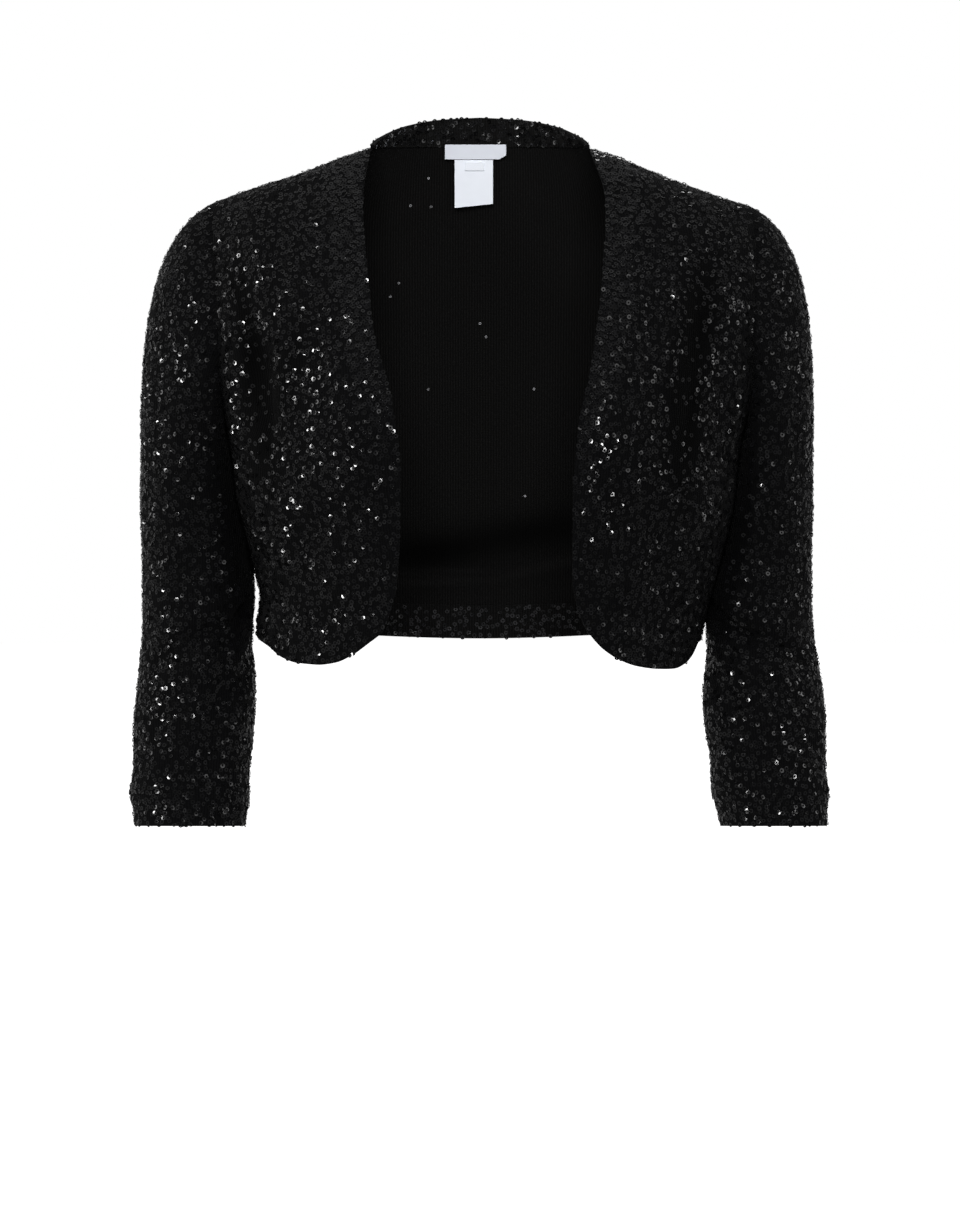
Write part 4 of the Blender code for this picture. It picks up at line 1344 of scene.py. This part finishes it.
class BoleroSizes(PropertyGroup):
    """Sizes of the cloth, the sequins and the labels."""

    cloth_thickness: FloatProperty(
        name="Cloth thickness", description="Thickness of the knit",
        default=0.0016, min=0.0005, max=0.003, unit="LENGTH")
    sequin_diameter: FloatProperty(
        name="Sequin diameter", description="Width of one sequin",
        default=0.0034, min=0.002, max=0.006, unit="LENGTH")
    sequin_hole: FloatProperty(
        name="Sequin hole", description="Width of the hole in a sequin",
        default=0.0014, min=0.0004, max=0.002, unit="LENGTH")
    sequin_cup: FloatProperty(
        name="Sequin cup", description="How far a sequin's rim stands above its hole",
        default=0.00005, min=0.0, max=0.001, unit="LENGTH")
    sequin_sides: IntProperty(
        name="Sequin sides", description="Number of sides of a sequin's outline",
        default=8, min=6, max=12)
    sequin_spacing: FloatProperty(
        name="Sequin spacing", description="Least distance between sequins",
        default=0.0025, min=0.0015, max=0.008, unit="LENGTH")
    sequins_per_cm2: FloatProperty(
        name="Sequins per cm2", description="Number of sequins on a square centimetre",
        default=6.6, min=1.0, max=9.0)
    sequin_tilt: FloatProperty(
        name="Sequin tilt", description="How far sequins lean out of the cloth",
        default=math.radians(12.5), min=0.0, max=math.radians(45), subtype="ANGLE")
    border_width: FloatProperty(
        name="Border width", description="Width of the close rows along the front edges",
        default=0.025, min=0.005, max=0.05, unit="LENGTH")
    border_row: FloatProperty(
        name="Border row", description="Distance between the close rows of sequins",
        default=0.0030, min=0.002, max=0.006, unit="LENGTH")
    label_thickness: FloatProperty(
        name="Label thickness", description="Thickness of a woven label",
        default=0.0005, min=0.0002, max=0.0008, unit="LENGTH")


class BoleroFinish(PropertyGroup):
    """Colours and finishes."""

    sequin_color: FloatVectorProperty(
        name="Sequin colour", description="Colour of the sequins",
        default=(0.0036, 0.0036, 0.004), size=3, min=0.0, max=1.0, subtype="COLOR")
    sequin_roughness: FloatProperty(
        name="Sequin roughness", description="How dull the sequins are",
        default=0.14, min=0.02, max=1.0, subtype="FACTOR")
    knit_color: FloatVectorProperty(
        name="Knit colour", description="Colour of the knit between the sequins",
        default=(0.0036, 0.0036, 0.0040), size=3, min=0.0, max=1.0, subtype="COLOR")
    reverse_color: FloatVectorProperty(
        name="Reverse colour", description="Colour of the knit's inner side",
        default=(0.0122, 0.0120, 0.0118), size=3, min=0.0, max=1.0, subtype="COLOR")
    satin_color: FloatVectorProperty(
        name="Care label colour", description="Colour of the care and size labels",
        default=(0.90, 0.935, 1.0), size=3, min=0.0, max=1.0, subtype="COLOR")
    taffeta_color: FloatVectorProperty(
        name="Main label colour", description="Colour of the main label",
        default=(0.70, 0.725, 0.79), size=3, min=0.0, max=1.0, subtype="COLOR")
    rib_pitch: FloatProperty(
        name="Rib pitch", description="Distance between the ribs of the knit",
        default=0.002, min=0.001, max=0.006, unit="LENGTH")


class BoleroStudio(PropertyGroup):
    """Floor and lights."""

    floor_color: FloatVectorProperty(
        name="Floor colour", description="Colour of the floor",
        default=(0.9, 0.9, 0.9), size=3, min=0.0, max=1.0, subtype="COLOR")
    floor_drop: FloatProperty(
        name="Floor drop", description="How far the floor lies below the shoulders",
        default=1.35, min=0.6, max=2.0, unit="LENGTH")
    key_power: FloatProperty(
        name="Key light", description="Power of the large light in front",
        default=86.0, min=0.0, max=1000.0, unit="POWER")
    side_power: FloatProperty(
        name="Side lights", description="Power of each light at the sides",
        default=4.0, min=0.0, max=1000.0, unit="POWER")
    top_power: FloatProperty(
        name="Top light", description="Power of the light above",
        default=1.3, min=0.0, max=1000.0, unit="POWER")
    spark_power: FloatProperty(
        name="Spark light", description="Power of the small light that the sequins mirror",
        default=20.0, min=0.0, max=1000.0, unit="POWER")
    room_level: FloatProperty(
        name="Room level", description="Brightness of the light from all round",
        default=1.0, min=0.0, max=3.0)


SheetCut = namedtuple("SheetCut", "width length area rests_on")
CUTS = {
    "back": SheetCut(0.48, 0.39, 0.157, ("neck_band_cloth",)),
    "front": SheetCut(0.20, 0.37, 0.054, ("back_cloth",)),
    "sleeve": SheetCut(0.30, 0.43, 0.089, ("back_cloth",)),
    "cuff": SheetCut(0.265, 0.031, None, ()),
    "neck_band": SheetCut(0.245, 0.022, 0.0037, ("back_cloth",)),
    "hem_facing": SheetCut(0.43, 0.024, None, ("back_cloth",)),
}


def declare(piece, node):
    """Hang a cloth piece on the root, and hide the part of the model that it stands for."""
    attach(piece, "root")
    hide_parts(node)


# Close rows of sequins: their start, pitch, fading out, waves and unevenness
BORDER_FIRST_ROW = 1.5
BORDER_FIRST_SPOT = 1.2
BORDER_NEAREST = 0.8
BORDER_PITCH = 3.1
BORDER_FADE = 80.0
BORDER_BLEND = 7.0
BORDER_LEAST_WIDE = 0.45
BORDER_MORE_WIDE = 0.55
BORDER_LEAST_KEPT = 0.35
BORDER_WAVE = 9.0
BORDER_WAVE_RISE = 0.22
BORDER_WAVE_SHIFT = 0.7
BORDER_RUN_SPREAD = 0.3
BORDER_ROW_SPREAD = 0.12


def border_spot(panel, sizes, seed, low_height):
    """Sequin places in close level rows along a front's opening edge."""
    rng = np.random.default_rng(seed)
    grid, into = panel.outer, panel.into
    across = np.concatenate((np.zeros((grid.shape[0], 1)), np.cumsum(
        np.linalg.norm(np.diff(grid, axis=1), axis=-1), axis=1)), axis=1)
    edge = grid[:, 0]
    down = np.concatenate(([0.0], np.cumsum(np.linalg.norm(np.diff(edge, axis=0), axis=-1))))
    last = float(np.interp(-low_height, -edge[:, 2], down))
    rows = []
    columns = []
    step = sizes.border_row / MM
    for number in range(int(last / step)):
        place = BORDER_FIRST_ROW + number * step
        row = float(np.interp(place, down, range(len(down))))
        reach = across[int(round(row))]
        left = min(1.0, (last - place) / BORDER_FADE)
        wide = sizes.border_width / MM * (BORDER_LEAST_WIDE + BORDER_MORE_WIDE * left)
        count = int((wide + BORDER_BLEND) / BORDER_PITCH)
        offset = BORDER_FIRST_SPOT + (BORDER_PITCH / 2 if number % 2 else 0.0)
        for spot in range(count):
            run = offset + spot * BORDER_PITCH + rng.normal(0, BORDER_RUN_SPREAD)
            if run > wide + rng.normal(0, BORDER_BLEND / 2):
                continue
            if rng.random() > BORDER_LEAST_KEPT + left:
                continue
            turn = run / BORDER_WAVE * 2 * math.pi + number * BORDER_WAVE_SHIFT
            wave = BORDER_WAVE_RISE * math.sin(turn)
            rows.append(row + wave + rng.normal(0, BORDER_ROW_SPREAD))
            columns.append(float(np.interp(max(run, BORDER_NEAREST), reach, range(len(reach)))))
    rows = np.clip(np.array(rows), 0, grid.shape[0] - 1.001)
    columns = np.array(columns)
    return Spot(surface(grid, rows, columns), -unit(surface(into, rows, columns)))


# How far sequins stay from the edges of each panel
BACK_MARGINS = {"first": 1.3, "last": 1.3, "top": 1.3, "bottom": 0.6}
FRONT_MARGINS = {"first": 0.6, "last": 1.3, "top": 1.3, "bottom": 0.6}
SLEEVE_MARGINS = {"top": 1.3, "bottom": 1.0}
CUFF_MARGINS = {"top": 0.8, "bottom": 0.5}
BAND_MARGINS = {"first": 0.5, "last": 0.5, "top": 0.3, "bottom": 1.0}
FACING_MARGINS = {"first": 0.5, "last": 0.5, "top": 0.8, "bottom": 0.5}

# How much closer sequins lie on a panel, and how much more or less they tilt
CUFF_CLOSER = 1.05
BAND_CLOSER = 1.2
BORDER_TILT = 0.9
BAND_INNER_TILT = 1.2
FACING_TILT = 1.3
BORDER_LIFT = 0.2
BORDER_END = -206.0

# Places inside the back where a sequin shows through between the stitches
SHOWN_THROUGH = ((-59, -81), (-66, -88), (0, -111), (4, -120), (35, -239), (-51, -25),
                 (-35, -24), (-37, -5), (-38, -157), (39, -158))
SHOWN_LIFT = 0.15
SHOWN_SMALL = 0.62


def shown_through(panel, thickness):
    """Sequin places on the inner side of the back."""
    inner = panel.outer + panel.into * thickness / MM
    points = []
    normals = []
    for x, z in SHOWN_THROUGH:
        far = (inner[..., 0] - x) ** 2 + (inner[..., 2] - z) ** 2
        row, column = np.unravel_index(np.argmin(far), far.shape)
        points.append(inner[row, column] + panel.into[row, column] * SHOWN_LIFT)
        normals.append(panel.into[row, column])
    return Spot(np.array(points), np.array(normals))


class BOLERO_OT_torso(Operator):
    """Build the two fronts and the back with their sequins"""

    bl_idname = "bolero.torso"
    bl_label = "Fronts and back"

    def execute(self, context):
        sizes = context.scene.bolero_sizes
        fronts, back = torso_form()[:2]
        knits = [material("knit_ground"), material("knit_reverse")]
        spot = scattered(back, sizes, BACK_MARGINS, 11)
        sequins = sequin_object("back_sequins", spot, sizes, 12, material("black_sequin"),
                                sizes.sequin_tilt)
        # The sequins inside the back are painted light grey, as painted glints
        shown = sequin_object("back_inner_sequins", shown_through(back, sizes.cloth_thickness),
                              sizes, 13, material("sequin_underside"), sizes.sequin_tilt,
                              small=SHOWN_SMALL)
        # Painted shade across the inside of the back, with painted highlights along lines above the
        # facing
        places = back.outer[..., (0, 2)]
        inner_lit = (INNER_LIT + shade_of(places, BACK_INNER_RIDGE_HIGHLIGHTS)
                     - INNER_LIT * shade_of(places, BACK_INNER_SHADES))
        cloth = cloth_shell("back_cloth", back, sizes.cloth_thickness, knits, inner_lit)
        declare(cloth, "back")
        for side in (RIGHT, LEFT):
            name = "front_" + SIDE_NAMES[side]
            panel = fronts[side]
            border = border_spot(panel, sizes, 20 + side, BORDER_END)
            spot = scattered(panel, sizes, FRONT_MARGINS, 30 + side, border.points)
            edging = sequin_object(name + "_border_sequins", border, sizes, 40 + side,
                                   material("black_sequin"),
                                   sizes.sequin_tilt * BORDER_TILT, lift=BORDER_LIFT)
            sequins = sequin_object(name + "_sequins", spot, sizes, 50 + side,
                                    material("black_sequin"), sizes.sequin_tilt)
            cloth = cloth_shell(name + "_cloth", panel, sizes.cloth_thickness, knits)
            declare(cloth, name)
        return {"FINISHED"}


class BOLERO_OT_sleeves(Operator):
    """Build the two sleeves and their cuffs with their sequins"""

    bl_idname = "bolero.sleeves"
    bl_label = "Sleeves and cuffs"

    def execute(self, context):
        sizes = context.scene.bolero_sizes
        knits = [material("knit_ground"), material("knit_reverse")]
        for side in (RIGHT, LEFT):
            name = "sleeve_" + SIDE_NAMES[side]
            panel = sleeve_form(side)
            spot = scattered(panel, sizes, SLEEVE_MARGINS, 60 + side)
            sequins = sequin_object(name + "_sequins", spot, sizes, 70 + side,
                                    material("black_sequin"), sizes.sequin_tilt)
            cloth = cloth_shell(name + "_cloth", panel, sizes.cloth_thickness, knits)
            declare(cloth, name)
            name = "cuff_" + SIDE_NAMES[side]
            panel = cuff_form(side)
            spot = scattered(panel, sizes, CUFF_MARGINS, 80 + side, closer=CUFF_CLOSER)
            sequins = sequin_object(name + "_sequins", spot, sizes, 90 + side,
                                    material("black_sequin"), sizes.sequin_tilt)
            cloth = cloth_shell(name + "_cloth", panel, CUFF_CLOTH * MM, knits)
            cut = CUTS["cuff"]._replace(rests_on=("sleeve_" + SIDE_NAMES[side] + "_cloth",))
            declare(cloth, name)
        return {"FINISHED"}


def beside_label(spot, label):
    """The sequin places that don't lie behind a label."""
    x, z = spot.points[:, 0], spot.points[:, 2]
    low = min(label.bottom_left, label.bottom_right)
    behind = ((x > label.left - LABEL_CLEAR) & (x < label.right + LABEL_CLEAR)
              & (z > low - LABEL_CLEAR) & (z < label.top + LABEL_CLEAR))
    return Spot(spot.points[~behind], spot.normals[~behind])


class BOLERO_OT_neck_band(Operator):
    """Build the standing neck band with sequins on both sides"""

    bl_idname = "bolero.neck_band"
    bl_label = "Neck band"

    def execute(self, context):
        sizes = context.scene.bolero_sizes
        panel = band_form()
        outside = scattered(panel, sizes, BAND_MARGINS, 101, closer=BAND_CLOSER)
        inner = Panel3D(panel.outer + panel.into * BAND_CLOTH, -panel.into, False)
        inside = beside_label(scattered(inner, sizes, BAND_MARGINS, 102, closer=BAND_CLOSER),
                              LABELS[0])
        sequins = sequin_object("neck_band_sequins", outside, sizes, 103,
                                material("black_sequin"), sizes.sequin_tilt)
        lining = sequin_object("neck_band_inner_sequins", inside, sizes, 104,
                               material("black_sequin"),
                               sizes.sequin_tilt * BAND_INNER_TILT)
        cloth = cloth_shell("neck_band_cloth", panel, BAND_CLOTH * MM,
                            [material("knit_ground"), material("knit_reverse")])
        declare(cloth, "neck_band")
        return {"FINISHED"}


class BOLERO_OT_hem_facing(Operator):
    """Build the hem turned up inside the back, with the sequins on its inner side"""

    bl_idname = "bolero.hem_facing"
    bl_label = "Hem facing"

    def execute(self, context):
        sizes = context.scene.bolero_sizes
        panel = facing_form()
        inner = Panel3D(panel.outer + panel.into * FACING_CLOTH, -panel.into, False)
        spot = scattered(inner, sizes, FACING_MARGINS, 111, closer=FACING_CLOSER)
        # Painted light: these sequins are a lighter black than the rest
        sequins = sequin_object("hem_facing_sequins", spot, sizes, 112,
                                material("inner_sequin"), sizes.sequin_tilt * FACING_TILT)
        cloth = cloth_shell("hem_facing_cloth", panel, FACING_CLOTH * MM,
                            [material("knit_ground"), material("knit_reverse")])
        declare(cloth, "hem_facing")
        return {"FINISHED"}


def band_inside(x):
    """How far back the inner side of the band's foot lies."""
    return NECK_DEPTH * np.sqrt(1 - (x / NECK_HALF) ** 2) - BAND_CLOTH - LABEL_FOOT_GAP


def back_inside(x, z):
    """How far back the inner side of the back lies near its middle."""
    back = torso_form()[1]
    inner = back.outer + back.into * KNIT_IN_SOLIDS
    middle = inner.shape[1] // 2
    reach = LABEL_PATCH * FINE
    patch = inner[:(YOKE_ROWS + 1) * FINE + 1, middle - reach:middle + reach + 1]
    found = [np.interp(x, row[:, 0], row[:, 1]) for row in patch]
    heights = [np.interp(x, row[:, 0], row[:, 2]) for row in patch]
    return float(np.interp(z, heights[::-1], found[::-1]))


CORNER_RUN = 5.0
CORNER_RISE = 2.8
LABEL_STEP = 1.2
LABEL_LEAST_COLUMNS = 8
LABEL_LEAST_ROWS = 5
LABEL_BEVEL = 0.3


def label_grid(label, columns, rows):
    """Points of a label's far side, as it hangs below the neck band."""
    grid = np.zeros((rows + 1, columns + 1, 3))
    for row in range(rows + 1):
        share = row / rows
        for column in range(columns + 1):
            part = column / columns
            x = label.left + (label.right - label.left) * part
            bottom = label.bottom_left + (label.bottom_right - label.bottom_left) * part
            if label.name == "label_main":
                turned = max(0.0, x - (label.right - CORNER_RUN)) / CORNER_RUN
                bottom += CORNER_RISE * turned
            z = label.top + (bottom - label.top) * share
            if label.name == "label_main":
                y = band_inside(x)
            else:
                wall = back_inside(x, min(z, NECK_BACK_HEIGHT - 1))
                hang = band_inside(x) + LABEL_SLOPE * (label.top - z)
                y = min(wall - LABEL_WALL_GAP, hang) - label.stand
            grid[row, column] = (x, y, z)
    return grid


class BOLERO_OT_labels(Operator):
    """Build the blank woven labels inside the back neck"""

    bl_idname = "bolero.labels"
    bl_label = "Labels"

    def execute(self, context):
        thickness = context.scene.bolero_sizes.label_thickness
        for label in LABELS:
            satin = material("white_taffeta" if label.name == "label_main" else "white_satin")
            columns = max(LABEL_LEAST_COLUMNS, int((label.right - label.left) / LABEL_STEP))
            rows = max(LABEL_LEAST_ROWS, int((label.top - label.bottom_left) / LABEL_STEP))
            grid = label_grid(label, columns, rows)
            into = np.zeros_like(grid)
            into[..., 1] = -1.0
            piece = cloth_shell(label.name + "_woven", Panel3D(grid, into, False),
                                thickness, [satin, satin])
            select_only(piece)
            bevel = piece.modifiers.new("edge", "BEVEL")
            bevel.width = thickness * LABEL_BEVEL
            bevel.segments = 2
            bevel.angle_limit = SMOOTH_ANGLE
            bpy.ops.object.modifier_apply(modifier=bevel.name)
            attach(piece, "root")
            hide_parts(label.name)
        return {"FINISHED"}


# Where each lamp stands and how wide and tall it is; all are turned to one point
Lamp = namedtuple("Lamp", "place width height")
LAMP_AIM = (0.0, 0.0, -0.2)
KEY_LAMP = Lamp((0.0, -2.9, 0.8), 1.1, 1.1)
FILL_LAMP = Lamp((1.6, -2.3, 0.5), 0.9, 0.9)
SPARK_LAMP = Lamp((-1.9, -2.2, 0.3), 0.36, 0.36)
RIGHT_LAMP = Lamp((-2.6, -0.3, 0.3), 0.3, 1.2)
LEFT_LAMP = Lamp((2.6, -0.3, 0.3), 0.3, 1.2)
BACK_LAMP = Lamp((0.3, 2.4, 1.6), 0.5, 0.5)
TOP_LAMP = Lamp((0.0, -0.4, 2.0), 1.5, 1.5)
FILL_SHARE = 0.05


def area_light(name, spot, power):
    """A soft light at its place, turned to the middle of the jacket."""
    bpy.ops.object.select_all(action="DESELECT")
    bpy.ops.object.light_add(type="AREA", location=spot.place)
    lamp = bpy.context.object
    lamp.name = name
    lamp.data.shape = "RECTANGLE"
    lamp.data.size = spot.width
    lamp.data.size_y = spot.height
    lamp.data.energy = power
    turn = (Vector(LAMP_AIM) - Vector(spot.place)).to_track_quat("-Z", "Y")
    lamp.rotation_euler = turn.to_euler()
    return lamp


# The room's light: brighter walls at each side, above and behind
Glow = namedtuple("Glow", "axis start full level")
ROOM_BASE = 0.095
ROOM_GLOWS = (
    Glow("X", -0.20, -0.80, 0.17),
    Glow("X", 0.30, 0.85, 0.08),
    Glow("Z", 0.60, 1.00, 0.20),
    Glow("Y", 0.20, 0.90, 0.22),
)


FLOOR_SIDES = 128
FLOOR_RADIUS = 9.0
FLOOR_ROUGHNESS = 0.9
FLOOR_SPECULAR = 0.1
WHITE = (1.0, 1.0, 1.0, 1.0)
CAMERA_PLACE = (0.0, -2.8, -0.020)
CAMERA_TURN = (math.radians(84.0), 0.0, 0.0)
CAMERA_LENS = 115.1
SENSOR_WIDTH = 36.0


class BOLERO_OT_studio(Operator):
    """Set the camera, the pale floor and the studio lights"""

    bl_idname = "bolero.studio"
    bl_label = "Studio"

    def execute(self, context):
        studio = context.scene.bolero_studio
        bpy.ops.object.select_all(action="DESELECT")
        bpy.ops.mesh.primitive_circle_add(vertices=FLOOR_SIDES, radius=FLOOR_RADIUS,
                                          fill_type="NGON",
                                          location=(0.0, 0.0, -studio.floor_drop))
        floor = bpy.context.object
        floor.name = "studio_floor"
        made, nodes, links, shader = new_material("pale_floor", tuple(studio.floor_color),
                                                  FLOOR_ROUGHNESS, FLOOR_SPECULAR)
        shader.inputs["Emission Color"].default_value = WHITE
        shader.inputs["Emission Strength"].default_value = 1.0
        floor.data.materials.append(made)
        floor.visible_glossy = False
        floor.visible_diffuse = False

        world = bpy.data.worlds.new("studio_room")
        context.scene.world = world
        world.use_nodes = True
        nodes = world.node_tree.nodes
        links = world.node_tree.links
        nodes.clear()
        output = nodes.new("ShaderNodeOutputWorld")
        choice = nodes.new("ShaderNodeMixShader")
        seen = nodes.new("ShaderNodeBackground")
        seen.inputs["Strength"].default_value = 1.0
        room = nodes.new("ShaderNodeBackground")
        room.inputs["Strength"].default_value = studio.room_level
        path = nodes.new("ShaderNodeLightPath")
        place = nodes.new("ShaderNodeTexCoord")
        split = nodes.new("ShaderNodeSeparateXYZ")
        links.new(place.outputs["Generated"], split.inputs["Vector"])
        total = None
        for glow in ROOM_GLOWS:
            reach = nodes.new("ShaderNodeMapRange")
            reach.inputs["From Min"].default_value = glow.start
            reach.inputs["From Max"].default_value = glow.full
            reach.inputs["To Max"].default_value = glow.level
            links.new(split.outputs[glow.axis], reach.inputs["Value"])
            level = nodes.new("ShaderNodeMath")
            level.operation = "ADD"
            level.inputs[1].default_value = ROOM_BASE
            links.new(reach.outputs["Result"], level.inputs[0])
            if total is not None:
                links.new(total.outputs["Value"], level.inputs[1])
            total = level
        links.new(total.outputs["Value"], room.inputs["Color"])
        seen.inputs["Color"].default_value = WHITE
        links.new(path.outputs["Is Camera Ray"], choice.inputs["Fac"])
        links.new(room.outputs["Background"], choice.inputs[1])
        links.new(seen.outputs["Background"], choice.inputs[2])
        links.new(choice.outputs["Shader"], output.inputs["Surface"])

        key = area_light("key_light", KEY_LAMP, studio.key_power)
        key.visible_glossy = False
        area_light("fill_light", FILL_LAMP, studio.key_power * FILL_SHARE)
        spark = area_light("spark_light", SPARK_LAMP, studio.spark_power)
        spark.visible_diffuse = False
        area_light("side_light_right", RIGHT_LAMP, studio.side_power)
        area_light("side_light_left", LEFT_LAMP, studio.side_power)
        area_light("back_light", BACK_LAMP, studio.side_power)
        area_light("top_light", TOP_LAMP, studio.top_power)

        bpy.ops.object.select_all(action="DESELECT")
        bpy.ops.object.camera_add(location=CAMERA_PLACE, rotation=CAMERA_TURN)
        camera = bpy.context.object
        camera.name = "photo_camera"
        camera.data.sensor_fit = "AUTO"
        camera.data.sensor_width = SENSOR_WIDTH
        camera.data.lens = CAMERA_LENS
        context.scene.camera = camera
        context.scene.view_settings.view_transform = "Standard"
        return {"FINISHED"}


class BOLERO_PT_sidebar(Panel):
    """Sizes, finishes and building steps of the jacket."""

    bl_idname = "BOLERO_PT_sidebar"
    bl_label = "Sequined bolero jacket"
    bl_space_type = "VIEW_3D"
    bl_region_type = "UI"
    bl_category = "Bolero"

    def draw(self, context):
        layout = self.layout
        for group in (context.scene.bolero_sizes, context.scene.bolero_finish,
                      context.scene.bolero_studio):
            box = layout.box()
            for name in group.bl_rna.properties.keys():
                if name not in ("rna_type", "name"):
                    box.prop(group, name)
        for operator in OPERATORS:
            layout.operator(operator.bl_idname)


OPERATORS = (BOLERO_OT_torso, BOLERO_OT_sleeves, BOLERO_OT_neck_band, BOLERO_OT_hem_facing,
             BOLERO_OT_labels, BOLERO_OT_studio)
CLASSES = (BoleroSizes, BoleroFinish, BoleroStudio, *OPERATORS, BOLERO_PT_sidebar)


def register():
    for item in CLASSES:
        bpy.utils.register_class(item)
    bpy.types.Scene.bolero_sizes = PointerProperty(type=BoleroSizes)
    bpy.types.Scene.bolero_finish = PointerProperty(type=BoleroFinish)
    bpy.types.Scene.bolero_studio = PointerProperty(type=BoleroStudio)


def unregister():
    del bpy.types.Scene.bolero_studio
    del bpy.types.Scene.bolero_finish
    del bpy.types.Scene.bolero_sizes
    for item in reversed(CLASSES):
        bpy.utils.unregister_class(item)


def main():
    register()
    bpy.ops.bolero.torso()
    bpy.ops.bolero.sleeves()
    bpy.ops.bolero.neck_band()
    bpy.ops.bolero.hem_facing()
    bpy.ops.bolero.labels()
    bpy.ops.bolero.studio()


if __name__ == "__main__":
    main()
